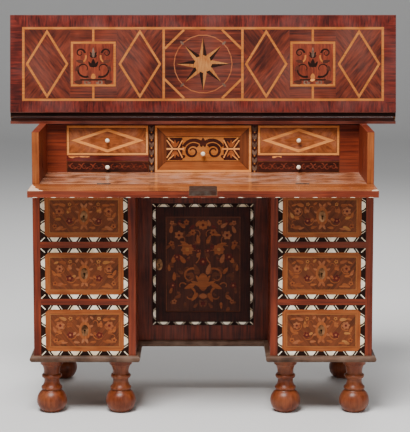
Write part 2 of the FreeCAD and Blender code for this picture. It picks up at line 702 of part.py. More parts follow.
# Nest of small drawers: partitions, pilasters, rails and the filler panels at its ends.
ceiling_height = "nest_height - nest_ceiling"
pilaster_x = "(centre_opening_width + pilaster_width) / 2"
outer_wall_x = "(side_opening_centre + (side_opening_width + nest_board) / 2)"
partitions = []
pilasters = []
fillers = []
rails = [board("nest_ceiling_board", 0, "nest_front", f"bed_top + {ceiling_height}", "inner_width",
               "nest_depth", "nest_ceiling")]
for hand, sign in hands:
    partitions.append(board(f"{hand}_partition", f"{sign} * {pilaster_x}",
                            "nest_front + pilaster_thickness", "bed_top",
                            "pilaster_width", "nest_depth - pilaster_thickness", ceiling_height))
    partitions.append(board(f"{hand}_outer_partition", f"{sign} * {outer_wall_x}",
                            "nest_front + filler_thickness",
                            "bed_top", "nest_board", "nest_depth - filler_thickness", ceiling_height))
    pilasters.append(board(f"{hand}_pilaster", f"{sign} * {pilaster_x}", "nest_front", "bed_top",
                           "pilaster_width",
                           "pilaster_thickness", ceiling_height))
    fillers.append(board(f"{hand}_filler", f"{sign} * (inner_width - filler_width) / 2", "nest_front",
                         "bed_top",
                         "filler_width", "filler_thickness", ceiling_height))
    rails.append(board(f"{hand}_nest_rail", f"{sign} * side_opening_centre", "nest_front",
                       "bed_top + low_opening_height",
                       "side_opening_width", "nest_depth", "nest_rail_height"))
node("nest_partitions", group("nest_walls", *partitions))
node("nest_pilasters", group("nest_strips", *pilasters))
node("nest_filler_panels", group("nest_fillers", *fillers))
node("nest_rails", group("nest_shelves", *rails))


def drawer_boards(name, width, height, front, depth, wall, back, bottom, rise):
    # Two sides, a back and a bottom behind a front, with the front's outer face at the origin.
    inside = f"({width} - 2 * {wall})"
    side_x = f"({width} - {wall}) / 2"
    length = f"{depth} - {front}"
    pieces = [board(f"{name}_{hand}", f"{sign} * {side_x}", front, 0, wall, length, height)
              for hand, sign in hands]
    pieces.append(board(f"{name}_back", 0, f"{depth} - {back}", 0, inside, back, height))
    pieces.append(board(f"{name}_bottom", 0, front, rise, inside, f"{length} - {back}", bottom))
    return pieces


# One pedestal drawer, made at the origin, and its six copies.
front_blank = board("front_blank", 0, 0, 0, "front_width", "drawer_front_thickness", "front_height")
front_key = copy(key_hole, "front_key", 0, 0, "front_height / 2")
front = cut("drawer_front", front_blank, front_key)
box = group("drawer_box", *drawer_boards("drawer", "front_width", "box_side_height",
                                         "drawer_front_thickness",
                                         "drawer_depth", "drawer_board", "drawer_back_board", "drawer_bottom",
                                         "drawer_bottom_rise"))
lock_low = "front_height - lock_height"
bolt_seat = "drawer_front_thickness + (lock_depth - bolt_thickness) / 2"
case_blank = board("lock_case_blank", 0, "drawer_front_thickness", lock_low, "lock_width", "lock_depth",
                   "lock_height")
case_bolt = board("lock_bolt", 0, bolt_seat, "front_height - bolt_height", "bolt_width", "bolt_thickness",
                  "bolt_height")
lock = group("drawer_lock", copy(key_plate, "front_plate", 0, 0, "front_height / 2"),
             cut("lock_case", case_blank, case_bolt), case_bolt)
for hand, sign in hands:
    for level, tier in enumerate(("bottom", "middle", "top")):
        name = f"{hand}_{tier}_drawer"
        spot = (f"{sign} * {pedestal_middle}", "case_front",
                f"plinth_top + {level} * drawer_pitch + running_gap")
        for label, master in (("front", front), ("box", box), ("lock", lock)):
            node(f"{name}_{label}", copy(master, f"{name}_{label}_place", *spot))

# Turned bone knob, with its shank behind the shoulder at the origin.
knob_shares = ((0.62, 0, 0), (0.62, 0.1, -0.2), (0.42, 0.36, -0.2), (0.74, 0.52, 0.25), (0.74, 0.84, 0.2),
               (0.3, 1, 0))
knob_outline = [(0, "-knob_shank_length", 0), ("knob_shank_diameter / 2", "-knob_shank_length", 0),
                ("knob_shank_diameter / 2", 0, 0)]
knob_outline += [(f"{r} * knob_diameter / 2", f"{h} * knob_length" if h else 0, bulge)
                 for r, h, bulge in knob_shares]
knob_outline.append((0, "knob_length", 0))
knob = turned("turned_knob", knob_outline)


def small_drawer(kind, opening_width, opening_height, knob_height):
    # A small drawer and its knob at the origin; the shank sits in a hole through the front.
    width = f"({opening_width} - 2 * drawer_play)"
    height = f"({opening_height} - running_gap - drawer_play)"
    blank = board(f"{kind}_front_blank", 0, 0, 0, width, "small_front_thickness", height)
    shank = rod(f"{kind}_shank_hole", 0, 0, knob_height.format(height=height), "knob_shank_diameter / 2",
                "knob_shank_length", along_y)
    pieces = drawer_boards(kind, width, f"({height} - small_side_drop)", "small_front_thickness",
                           "small_drawer_depth", "small_board", "small_board", "small_bottom",
                           "small_bottom / 2")
    whole = group(f"{kind}_drawer", cut(f"{kind}_front", blank, shank), *pieces)
    return whole, knob_height.format(height=height)


high = small_drawer("high", "side_opening_width", "high_opening_height", "{height} / 2")
low = small_drawer("low", "side_opening_width", "low_opening_height", "{height} / 2")
centre = small_drawer("centre", "centre_opening_width", "centre_opening_height",
                      "{height} / 2 - centre_knob_drop")
high_floor = "bed_top + low_opening_height + nest_rail_height"
places = [("centre_small_drawer", centre, "0", "bed_top")]
for hand, sign in hands:
    places.append((f"{hand}_high_small_drawer", high, f"{sign} * side_opening_centre", high_floor))
    places.append((f"{hand}_low_small_drawer", low, f"{sign} * side_opening_centre", "bed_top"))
for name, (whole, knob_height), x, floor in places:
    level = f"{floor} + running_gap"
    node(name, copy(whole, f"{name}_place", x, "nest_front", level))
    node(f"{name}_knob", copy(knob, f"{name}_knob_place", x, "nest_front", f"{level} + {knob_height}",
                              out_of_front))

# Checks, then one file for each sub-part.
doc.recompute()
failed = [item.Name for item in doc.Objects if {"Invalid", "Error"} & set(item.State)]
if failed:
    raise RuntimeError(f"objects that failed: {failed}")
shapes = {item.Label: Part.getShape(item) for item in nodes}
broken = [label for label, shape in shapes.items() if shape.isNull() or not shape.isValid()]
if broken:
    raise RuntimeError(f"sub-parts with a bad shape: {broken}")
os.makedirs("parts", exist_ok=True)
for label, shape in shapes.items():
    shape.exportStep(f"parts/{label}.step")
print(len(shapes), "sub-parts")
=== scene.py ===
import math
import random

import bmesh
import bpy
from mathutils import Matrix, Vector


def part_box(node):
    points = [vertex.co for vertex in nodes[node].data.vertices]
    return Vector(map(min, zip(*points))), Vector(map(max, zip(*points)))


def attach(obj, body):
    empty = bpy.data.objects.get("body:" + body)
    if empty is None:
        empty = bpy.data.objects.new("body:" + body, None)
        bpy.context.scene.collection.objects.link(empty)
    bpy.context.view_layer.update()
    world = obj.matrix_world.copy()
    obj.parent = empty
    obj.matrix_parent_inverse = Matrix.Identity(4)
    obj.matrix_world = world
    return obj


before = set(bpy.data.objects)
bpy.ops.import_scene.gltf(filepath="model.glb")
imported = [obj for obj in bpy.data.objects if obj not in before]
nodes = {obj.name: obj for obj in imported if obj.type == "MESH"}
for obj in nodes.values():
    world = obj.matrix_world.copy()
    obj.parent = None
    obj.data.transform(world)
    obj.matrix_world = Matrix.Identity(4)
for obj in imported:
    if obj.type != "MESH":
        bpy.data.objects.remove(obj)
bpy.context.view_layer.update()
mm = 0.001
print("frame loaded:", len(nodes), "nodes")


def linear(hexColour):  # sRGB hex to the linear colour that a shader takes
    parts = [int(hexColour[i:i + 2], 16) / 255 for i in (1, 3, 5)]
    return [c / 12.92 if c <= 0.04045 else ((c + 0.055) / 1.055) ** 2.4 for c in parts] + [1]


def addNode(tree, kind, inputs, output=0, **settings):  # a socket among the inputs makes a link
    node = tree.nodes.new("ShaderNode" + kind)
    for name, value in settings.items():
        setattr(node, name, value)
    for key, value in inputs.items():
        if isinstance(value, bpy.types.NodeSocket):
            tree.links.new(value, node.inputs[key])
        else:
            node.inputs[key].default_value = value
    return node.outputs[output] if node.outputs else None


def newMaterial(name):  # with its nodes, and the place on the object that its patterns start from
    material = bpy.data.materials.new(name)
    material.use_nodes = True
    tree = material.node_tree
    tree.nodes.clear()
    return material, tree, addNode(tree, "TexCoord", {}, "Object")


# Grain directions, as turns that lay the streaks along the named way.
grainTurns = {
    "wide": (0, 0, 0),
    "upright": (0, math.radians(90), 0),
    "deep": (0, 0, math.radians(90)),
    "rising": (0, math.radians(-52), 0),
    "falling": (0, math.radians(52), 0),
}

# What all woods share: the noise levels between which each effect comes in, and the depth of the pores in mm.
woodGrain = {
    "streakNoise": {"Scale": 1, "Detail": 4, "Roughness": 0.62, "Distortion": 0.35}, "streaks": (0.34, 0.66),
    "poreNoise": {"Scale": 1, "Detail": 2}, "poreLength": 0.3, "poreSpan": 0.16, "poreRelief": 0.12,
    "poreDepth": 0.3, "patchDetail": 3, "wear": (0.42, 0.7), "stain": (0.46, 0.3), "rub": (0.98, 0.78),
    "rubSamples": 4, "polishSpan": 0.16, "ior": 1.5,
}


# Waxed wood and veneer: long streaks of two tones, dark pores, slow changes of tone and a soft polish. Real
# pores are some 0.2 mm wide and wouldn't show, so they are drawn several times as wide.
def wood(name, look, grain):
    material, tree, place = newMaterial(name)
    streakSize = (look["streakLength"] * mm, look["streakWidth"] * mm, look["streakWidth"] * mm)
    poreSize = (streakSize[0] * woodGrain["poreLength"], look["poreWidth"] * mm, look["poreWidth"] * mm)
    along, fine = [
        addNode(tree, "Mapping", {"Vector": place, "Rotation": grainTurns[grain], "Scale": size},
                vector_type="TEXTURE") for size in (streakSize, poreSize)]
    streak, pore, patch = [
        addNode(tree, "TexNoise", {"Vector": where, **noise}) for where, noise in (
            (along, woodGrain["streakNoise"]), (fine, woodGrain["poreNoise"]),
            (place, {"Scale": 1 / (look["patch"] * mm), "Detail": woodGrain["patchDetail"]}))]
    poreLevels = (look["poreStart"], look["poreStart"] + woodGrain["poreSpan"])
    streaks, worn, stained, pores = [
        addNode(tree, "MapRange", {
            "Value": source, "From Min": low, "From Max": high, "To Max": most})
        for source, (low, high), most in (
            (streak, woodGrain["streaks"], 1), (patch, woodGrain["wear"], look["wear"]),
            (patch, woodGrain["stain"], look["stain"]), (pore, poreLevels, look["pores"]))]
    earlyTone, lateTone, poreTone, wornTone = [linear(tone) for tone in look["tones"].split()]
    layers = [(streaks, earlyTone), (worn, wornTone), (stained, poreTone)]
    if look["edge"]:  # rubbed edges: paler where the rounded normal leaves the flat one, in patches
        rounded = addNode(tree, "Bevel", {"Radius": look["edge"] * mm}, samples=woodGrain["rubSamples"])
        flat = addNode(tree, "NewGeometry", {}, "Normal")
        bend = addNode(tree, "VectorMath", {0: rounded, 1: flat}, "Value", operation="DOT_PRODUCT")
        rub = addNode(tree, "MapRange", {
            "Value": bend, "From Min": woodGrain["rub"][0], "From Max": woodGrain["rub"][1]})
        layers.append((addNode(tree, "Math", {0: rub, 1: patch}, operation="MULTIPLY"), wornTone))
    colour = lateTone
    for amount, tone in layers + [(pores, poreTone)]:
        colour = addNode(tree, "Mix", {0: amount, 6: colour, 7: tone}, 2, data_type="RGBA")
    polish = addNode(tree, "MapRange", {
        "Value": streak, "To Min": look["gloss"], "To Max": look["gloss"] + woodGrain["polishSpan"]})
    relief = addNode(tree, "Bump", {
        "Height": pore, "Strength": woodGrain["poreRelief"], "Distance": woodGrain["poreDepth"] * mm})
    surface = addNode(tree, "BsdfPrincipled", {
        "Base Color": colour, "Roughness": polish, "Normal": relief, "IOR": woodGrain["ior"],
        "Specular IOR Level": look["shine"]})
    addNode(tree, "OutputMaterial", {0: surface})
    return material


# Woods by what each is: early, late, pore and worn tones, sizes in mm, the noise level where pores begin, and
# how strong the pores, wear, polish and stains are. An edge is how far in it is rubbed.
woodColumns = ("tones", "streakLength", "streakWidth", "poreWidth", "poreStart", "pores", "patch", "wear",
               "gloss", "shine", "edge", "stain")
woodRows = {
    # kingwood veneer under wax: red-brown with near-black streaks and a soft shine
    "kingwood": ("#6e2914 #2f0c07 #1c0604 #6d4a41", 130, 6, 1.1, 0.58, 0.6, 110, 0.3, 0.36, 0.2, 1.6, 0.55),
    # kingwood cut short for crossbanding: redder, close dark lines
    "redKingwood": ("#6d1e11 #2f0604 #1b0403 #664540", 70, 5, 1.0, 0.58, 0.55, 80, 0.34, 0.38, 0.2, 1.4, 0.6),
    # old waxed mahogany: red-brown, long plain grain, paler where its edges are rubbed
    "mahogany": ("#803117 #4a150a #2a0c07 #824530", 200, 7, 1.2, 0.58, 0.5, 130, 0.3, 0.38, 0.2, 1.8, 0.4),
    # fruitwood veneer: warm orange-brown with little figure
    "fruitwood": ("#9a5123 #733717 #52230e #9b5f33", 110, 4, 1.0, 0.58, 0.45, 60, 0.3, 0.42, 0.17, 0, 0.3),
    # walnut veneer: mid brown, streaked and clouded
    "walnut": ("#75391a #49210c #2b1207 #753f23", 120, 7, 1.2, 0.58, 0.45, 70, 0.35, 0.42, 0.17, 0, 0.4),
    # walnut gone dark: deep brown that hides its grain
    "darkWalnut": ("#502210 #2f1007 #1e0904 #562c20", 120, 8, 1.3, 0.58, 0.45, 60, 0.35, 0.42, 0.17, 0, 0.4),
    # satinwood string: golden, with very fine grain
    "satinwood": ("#af6729 #8f4e1c #6c3712 #ae7847", 80, 3, 0.8, 0.58, 0.35, 40, 0.3, 0.4, 0.17, 0, 0.2),
    # boxwood string: the lightest yellow, almost without grain
    "boxwood": ("#de9049 #c67536 #8c5323 #cc9d6a", 80, 3, 0.8, 0.58, 0.3, 40, 0.3, 0.4, 0.17, 0, 0.2),
    # burr veneer: short twisted grain in light and dark patches
    "burr": ("#a15728 #6c3317 #4c220e #a06a50", 30, 9, 1.6, 0.58, 0.5, 30, 0.4, 0.4, 0.17, 0, 0.35),
    # rosewood: nearly black, with a red glow
    "darkRosewood": ("#40150a #1a0704 #0e0402 #492215", 60, 4, 0.9, 0.58, 0.4, 40, 0.3, 0.42, 0.15, 0, 0.4),
    # yew: honey colour with fine lines
    "yew": ("#a86c33 #84471f #603013 #aa8050", 60, 3, 0.8, 0.58, 0.35, 40, 0.3, 0.44, 0.15, 0, 0.2),
    # pearwood: even pinkish brown
    "pearwood": ("#9d5a32 #7b3b1e #572911 #a27453", 50, 3, 0.8, 0.58, 0.35, 40, 0.3, 0.44, 0.15, 0, 0.2),
    # ebony: black-brown and only faintly glossy
    "ebony": ("#240e07 #120603 #070301 #32180e", 100, 3, 0.8, 0.58, 0.3, 50, 0.3, 0.45, 0.09, 0, 0.2),
    # padauk: deep red
    "padauk": ("#601b12 #3e0c08 #290606 #682920", 60, 3, 0.8, 0.58, 0.3, 40, 0.2, 0.44, 0.15, 0, 0.2),
    # walnut of the flap, long polished: broad streaks under a mirror-like shine
    "wornWalnut": ("#b96630 #5c2511 #270f06 #ac7a54", 420, 20, 8, 0.52, 0.62, 90, 0.32, 0.16, 0.8, 2, 0.28),
    # walnut of the bed: pale pinkish patches, partly faded by use and partly a painted sheen, and dark stains
    # under the same shine
    "fadedWalnut": ("#c98053 #6a3520 #341a10 #c9a08c", 320, 14, 8, 0.5, 0.62, 55, 0.5, 0.16, 0.8, 2, 0.6),
    # bare greyed beech: matt and blotched, rubbed pale on its edges
    "wornBeech": ("#614534 #422d22 #261a13 #7c6353", 120, 5, 1.4, 0.58, 0.6, 45, 0.6, 0.45, 0.15, 2, 0.5),
    # limewood tones for the pale patches painted as a highlight on the flap's ends: pale and dry
    "bareLime": ("#e6c6a9 #cfa382 #8f6548 #f0dcca", 60, 3, 0.8, 0.58, 0.45, 30, 0.3, 0.35, 0.3, 0, 0.35),
    # turned and stained beech: red-brown, glossy on its bulges
    "turnedBeech": ("#7b3b20 #57230c #361407 #935c3a", 110, 8, 1.4, 0.58, 0.35, 60, 0.3, 0.26, 0.25, 2, 0.35),
    # sawn oak of the linings: pale brown, open pores, no polish
    "oak": ("#9d784c #825b33 #5f4022 #a78861", 200, 6, 1.3, 0.58, 0.6, 120, 0.3, 0.55, 0.12, 1.4, 0.3),
    # rough pine of the back: brown, wide grain, dry
    "pine": ("#87613e #613f23 #412a17 #7d6047", 420, 14, 2.0, 0.58, 0.35, 180, 0.4, 0.6, 0.1, 1.4, 0.22),
}

# Metal and bone: clean and dull tones, cloud and speck sizes in mm, and how rough, pitted and metallic it is.
hardColumns = ("clean", "dull", "cloud", "speck", "gloss", "pitting", "metal")
hardRows = {
    # brass gone dull: dark golden brown, brighter where hands have rubbed it
    "dulledBrass": ("#946847", "#4c3120", 14, 1.5, 0.3, 0.15, 1),
    # forged iron with old rust: dark, brown-flecked, hardly shiny
    "darkIron": ("#504239", "#3d2317", 16, 2, 0.45, 0.3, 0.7),
    # turned iron of the screws: grey, with a low metal shine
    "turnedIron": ("#5a5550", "#3c2a20", 6, 1, 0.36, 0.2, 1),
    # turned and polished bone: creamy white with a small bright highlight
    "turnedBone": ("#fdf2de", "#e2cba4", 8, 1.5, 0.25, 0.05, 0),
    # sawn bone, inlaid and scraped level: ivory white, yellower in patches
    "inlaidBone": ("#fff1da", "#dfc69c", 22, 2, 0.4, 0.08, 0),
}
hardSurface = {"details": {"cloud": 5, "speck": 2}, "blend": (0.38, 0.66), "polishSpan": 0.25,
               "pitDepth": 0.2}


def hardMaterial(name, look):
    material, tree, place = newMaterial(name)
    cloud, speck = [
        addNode(tree, "TexNoise", {
            "Vector": place, "Scale": 1 / (look[size] * mm), "Detail": detail})
        for size, detail in hardSurface["details"].items()]
    blend = addNode(tree, "MapRange", {
        "Value": cloud, "From Min": hardSurface["blend"][0], "From Max": hardSurface["blend"][1]})
    colour = addNode(tree, "Mix", {0: blend, 6: linear(look["clean"]), 7: linear(look["dull"])}, 2,
                     data_type="RGBA")
    polish = addNode(tree, "MapRange", {
        "Value": cloud, "To Min": look["gloss"], "To Max": look["gloss"] + hardSurface["polishSpan"]})
    relief = addNode(tree, "Bump", {
        "Height": speck, "Strength": look["pitting"], "Distance": hardSurface["pitDepth"] * mm})
    surface = addNode(tree, "BsdfPrincipled", {
        "Base Color": colour, "Roughness": polish, "Normal": relief, "Metallic": look["metal"]})
    addNode(tree, "OutputMaterial", {0: surface})
    return material


finishes = {}


def finishOf(look):  # a metal, bone or wood by its name, and a wood whose grain isn't laid wide by both
    if look in hardRows and look not in finishes:
        finishes[look] = hardMaterial(look, dict(zip(hardColumns, hardRows[look])))
    elif look not in finishes:
        kind, grain = (look + " wide").split()[:2]
        finishes[look] = wood(kind + grain.capitalize(), dict(zip(woodColumns, woodRows[kind])), grain)
    return finishes[look]


# What each CAD node is made of, by a part of its name. The first that fits counts.
nodeLooks = {
    "knob": "turnedBone", "hinge_leaves": "darkIron", "flap_lock": "darkIron", "hinge_plates": "dulledBrass",
    "hinge_arms": "dulledBrass", "lock": "dulledBrass", "outer_side": "mahogany upright",
    "inner_side": "mahogany upright", "feet": "turnedBeech upright", "pedestal_bottoms": "pine",
    "cupboard_bottom": "pine", "back_boards": "pine upright", "plinth": "wornBeech",
    "writing_bed": "fadedWalnut", "flap_board": "wornWalnut", "dividers": "mahogany", "runners": "oak deep",
    "kneehole_frame": "kingwood upright", "door_frame": "darkRosewood upright",
    "door_panel": "darkWalnut upright", "fixed_top": "kingwood",
    "lid_board": "kingwood", "nest_partitions": "oak deep", "nest_rails": "redKingwood",
    "filler_panels": "mahogany", "pilasters": "darkRosewood upright", "drawer_front": "ebony",
    "drawer_box": "oak deep", "small_drawer": "fruitwood",
}
for name, item in nodes.items():
    look = next(look for key, look in nodeLooks.items() if key in name)
    item.material_slots[0].material = finishOf(look)
print("node finishes done")

# Marquetry: every inlay is a thin closed plate, in mm on its panel, with its underside let into the ground.
sink = 0.25 * mm
lift = 0.0012  # each plate lies this much above the last, so that no two share a surface
sharpest = 0.2  # the least sine that a mitre counts with
leafShape = {"taper": 0.8, "segments": 12}
flowerShape = {"petalWidth": 0.8, "rises": (0.45, 0.48), "heart": 0.6, "heartRise": 0.6, "heartSegments": 10,
               "turns": (0, 60)}
scrollShape = {"stepDegrees": 16, "leastSteps": 4}


def newPanel():  # an inlay under way: its mesh in panel coordinates, and the finishes it uses
    return {"bm": bmesh.new(), "looks": [], "laid": 0}


def thicken(panel, faces, look, rise):  # gives flat shapes their thickness and finish
    panel["laid"] += 1
    rise += lift * panel["laid"]
    if look not in panel["looks"]:
        panel["looks"].append(look)
    for face in faces:
        face.material_index = panel["looks"].index(look)
    grown = bmesh.ops.extrude_face_region(panel["bm"], geom=faces)["geom"]
    tops = [part for part in grown if isinstance(part, bmesh.types.BMVert)]
    bmesh.ops.translate(panel["bm"], vec=(0, 0, rise * mm + sink), verts=tops)


def plate(panel, corners, look, rise=0.3):  # a flat piece by its corners
    bm = panel["bm"]
    face = bm.faces.new([bm.verts.new((u * mm, v * mm, -sink)) for u, v in corners])
    thicken(panel, [face], look, rise)


def line(panel, start, end, width, look, rise=0.3):  # a string of inlay between two points
    start, end = Vector(start), Vector(end)
    across = (end - start).orthogonal().normalized() * width / 2
    plate(panel, [start - across, end - across, end + across, start + across], look, rise)


def ring(panel, points, width, look, rise=0.3):  # strings round a closed outline, mitred at its corners
    points = [Vector(p) for p in points]
    inner = []
    for n, point in enumerate(points):
        before = (point - points[n - 1]).normalized()
        after = (points[(n + 1) % len(points)] - point).normalized()
        split = (after - before).normalized()
        inner.append(point + split * width / max(sharpest, abs(split.cross(after))))
    for n in range(len(points)):
        m = (n + 1) % len(points)
        plate(panel, [points[n], points[m], inner[m], inner[n]], look, rise)


def rectangle(left, low, right, high):
    return [(left, low), (right, low), (right, high), (left, high)]


def centred(wide, high):
    return rectangle(-wide, -high, wide, high)


def oval(panel, at, turn, wide, high, segments, offset=0, taper=0):
    made = bmesh.ops.create_circle(panel["bm"], cap_ends=True, radius=0.5, segments=segments)["verts"]
    for vert in made:
        vert.co.y *= 1 - taper * vert.co.x
    place = Matrix.Translation((at[0] * mm, at[1] * mm, -sink)) @ Matrix.Rotation(math.radians(turn), 4, "Z")
    size = Matrix.Diagonal((wide * mm, high * mm, 1, 1))
    bmesh.ops.transform(panel["bm"], matrix=place @ size @ Matrix.Translation((offset, 0, 0)), verts=made)
    return [made[0].link_faces[0]]


def leaf(panel, at, degrees, length, width, look, rise=0.4):  # full near the stalk, pointed at its tip
    faces = oval(panel, at, degrees, length, width, leafShape["segments"], 0.5, leafShape["taper"])
    thicken(panel, faces, look, rise)


def disc(panel, at, wide, high, look, rise=0.5, segments=16):
    thicken(panel, oval(panel, at, 0, wide, high, segments), look, rise)


def flower(panel, at, radius, petals, petalLook, heartLook, turn=0):
    shape = flowerShape
    for n in range(petals):
        leaf(panel, at, turn + n * 360 / petals, radius, radius * shape["petalWidth"], petalLook,
             shape["rises"][n % 2])
    heart = radius * shape["heart"]
    disc(panel, at, heart, heart, heartLook, shape["heartRise"], shape["heartSegments"])


def scroll(panel, centre, radius, start, sweep, width, shrink, look, rise=0.35):  # a stem that winds in
    bm = panel["bm"]
    middle = Matrix.Translation((centre[0] * mm, centre[1] * mm, 0))
    ends = [bm.verts.new(middle @ Matrix.Rotation(math.radians(start), 4, "Z") @ Vector((r * mm, 0, -sink)))
            for r in (radius - width / 2, radius + width / 2)]
    steps = max(scrollShape["leastSteps"], round(abs(sweep) / scrollShape["stepDegrees"]))
    turn = Matrix.Rotation(math.radians(sweep) / steps, 4, "Z") @ Matrix.Scale(shrink ** (1 / steps), 4)
    turn = turn @ Matrix.Diagonal((1, 1, shrink ** (-1 / steps), 1))  # the stem stays level as it shrinks
    faces = []
    for n in range(steps):
        grown = bmesh.ops.extrude_edge_only(bm, edges=[bm.edges.get(ends) or bm.edges.new(ends)])["geom"]
        ends = [part for part in grown if isinstance(part, bmesh.types.BMVert)]
        faces += [part for part in grown if isinstance(part, bmesh.types.BMFace)]
        bmesh.ops.transform(bm, matrix=middle @ turn @ middle.inverted(), verts=ends)
    thicken(panel, faces, look, rise)


def addObject(name, data):
    item = bpy.data.objects.new(name, data)
    bpy.context.scene.collection.objects.link(item)
    return item


def meshObject(name, bm, materials):
    mesh = bpy.data.meshes.new(name)
    bm.to_mesh(mesh)
    bm.free()
    for material in materials:
        mesh.materials.append(material)
    return addObject(name, mesh)


def addPiece(panel, name, place, body):  # makes the object, with its place in its mesh
    bm = panel["bm"]
    bmesh.ops.recalc_face_normals(bm, faces=bm.faces)
    bmesh.ops.transform(bm, matrix=place, verts=bm.verts)
    piece = meshObject(name, bm, [finishOf(look) for look in panel["looks"]])
    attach(piece, body)


def facing(origin, right=(1, 0, 0), up=(0, 0, 1)):  # a panel's place from its middle
    right, up = Vector(right), Vector(up)
    return Matrix.Translation(origin) @ Matrix((right, up, right.cross(up))).transposed().to_4x4()


def onBox(box, axis, end, **ways):  # a panel's place on a box's face, at the low or high end of an axis
    origin = [(low + high) / 2 for low, high in zip(*box)]
    origin[axis] = box[end][axis]
    return facing(origin, **ways)


def frontOf(box):
    return onBox(box, 1, 0)


def mirrored(hand, degrees):  # an angle drawn for the left half, turned over for the right one
    return degrees if hand < 0 else 180 - degrees


def spray(panel, face, hand, chance):  # the stems, leaves and flowers of one half
    for x, y, radius, start, sweep, width, shrink in face["scrolls"]:
        if "stemVary" in face:
            radius *= chance.uniform(*face["stemVary"])
        scroll(panel, (-hand * x, y), radius, mirrored(hand, start), -hand * sweep, width, shrink,
               "fruitwood")
    for x, y, degrees, length, width in face["leaves"]:
        aim = degrees + chance.uniform(-face["sway"], face["sway"])
        leaf(panel, (-hand * x, y), mirrored(hand, aim), length, width, chance.choice(face["leafWoods"]))
    for x, y, radius, petals, petalLook, heartLook in face["flowers"]:
        flower(panel, (-hand * x, y), radius * chance.uniform(*face["bloom"]), petals, petalLook, heartLook,
               chance.uniform(*flowerShape["turns"]))


# Sawtooth border: bone trapezoids on ebony, long side inwards, each between two thin bone lines. The
# shoulders are shares of the tooth's slope, on the level sides and on the upright ones.
toothShape = {"shoulders": (0.46, 0.62), "shoulderDepth": 0.42, "look": ("inlaidBone", 0.35)}


def sawtooth(panel, half, teeth, border):
    edge, depth, gap = border["edge"], border["depth"], border["gap"]
    base, top = border["long"] / 2, border["short"] / 2
    shoulderDepth = edge + toothShape["shoulderDepth"] * (depth - edge)
    for side in range(4):
        upright = side % 2
        reach, across, count = half[upright], half[1 - upright], teeth[upright]
        pitch = 2 * (reach - depth) / count
        shoulder = top + toothShape["shoulders"][upright] * (base - top)
        turn = Matrix.Rotation(math.radians(90 * side), 2)

        def spot(along, inward):  # along the side, and in from the outer edge
            return turn @ Vector((along, inward - across))
        for n in range(count):
            middle = (n + 0.5 - count / 2) * pitch
            outline = ((-top, edge), (top, edge), (shoulder, shoulderDepth), (base, depth), (-base, depth),
                       (-shoulder, shoulderDepth))
            plate(panel, [spot(middle + along, inward) for along, inward in outline], *toothShape["look"])
            for hand in (-1, 1):
                ends = [(top + gap, edge), (base + gap, depth)]
                line(panel, *[spot(middle + hand * along, inward) for along, inward in ends], border["line"],
                     "inlaidBone")
        line(panel, spot(edge - reach, edge), spot(depth - reach, depth), border["corner"], "inlaidBone")


# Pedestal drawer fronts, sizes in mm: sawtooth border, mitred band, string, dark ground and flowers. A scroll
# has its centre, radius, start, sweep, width and shrink, a leaf its stalk, direction, length and width, and a
# flower its middle, radius, petals and woods. A string has its width, wood and rise.
drawerFace = {
    "half": (122, 71.8), "teeth": (4, 2), "band": 13, "chamfer": 9, "string": (1.3, "yew", 0.34),
    "groundRise": 0.25, "plateHalf": (10.2, 16.6), "cartoucheHalf": (16.5, 26),
    "cartouche": ("fruitwood upright", 0.5), "cartoucheLeaf": ("pearwood", 0.55), "ovalStep": 20,
    "border": {"depth": 12, "edge": 0.8, "long": 26, "short": 10, "gap": 6.6, "line": 1.3, "corner": 2.6},
    "seeds": {"top": 3, "middle": 8, "bottom": 14}, "stemVary": (0.92, 1.06), "sway": 14, "bloom": (0.9, 1.1),
    "leafWoods": ("yew", "fruitwood", "pearwood", "fruitwood"),
    "scrolls": [(-41, -13, 19, 5, -275, 3.2, 0.3), (-66, 14, 16, -130, 270, 2.8, 0.35),
        (-28, 22, 10, 215, -215, 2.2, 0.45), (-78, -20, 10, 60, 220, 2.0, 0.4)],
    "leaves": [(-58, -30, 200, 24, 10), (-32, -33, 5, 18, 7), (-80, -6, 120, 19, 8), (-51, 30, 170, 22, 9),
        (-24, 32, 40, 13, 6), (-46, 8, 80, 19, 8), (-64, -8, 170, 18, 8), (-36, 12, 140, 16, 7),
        (-72, 34, 200, 15, 6), (-24, -6, 215, 16, 7), (-66, -36, 10, 18, 6)],
    "flowers": [(-69, 14, 12, 6, "pearwood", "padauk"), (-41, -13, 10, 5, "padauk", "pearwood"),
        (-82, -28, 8, 5, "fruitwood", "padauk"), (-40, 34, 6, 5, "yew", "padauk")],
    "cartoucheLeaves": [(2, 24, 62, 15, 7), (2, -24, -62, 15, 7), (14, 10, 25, 11, 6),
        (14, -10, -25, 11, 6)],
}


def drawerBand(panel, half, band, cut):  # the mitred band, with its corners taken off
    wide, high = half
    for hand in (-1, 1):
        for look, reach, out in (("fruitwood", wide, high), ("fruitwood upright", high, wide)):
            strip = [(cut - reach, hand * out), (reach - cut, hand * out),
                     (reach - cut / 2, hand * (out - cut / 2)), (reach - band, hand * (out - band)),
                     (band - reach, hand * (out - band)), (cut / 2 - reach, hand * (out - cut / 2))]
            plate(panel, strip if reach == wide else [(v, u) for u, v in strip], look)


def halfOval(half, hand, level):  # from its top to its foot
    return [(hand * half[0] * math.sin(math.radians(a)), level + half[1] * math.cos(math.radians(a)))
            for a in range(0, 181, drawerFace["ovalStep"])]


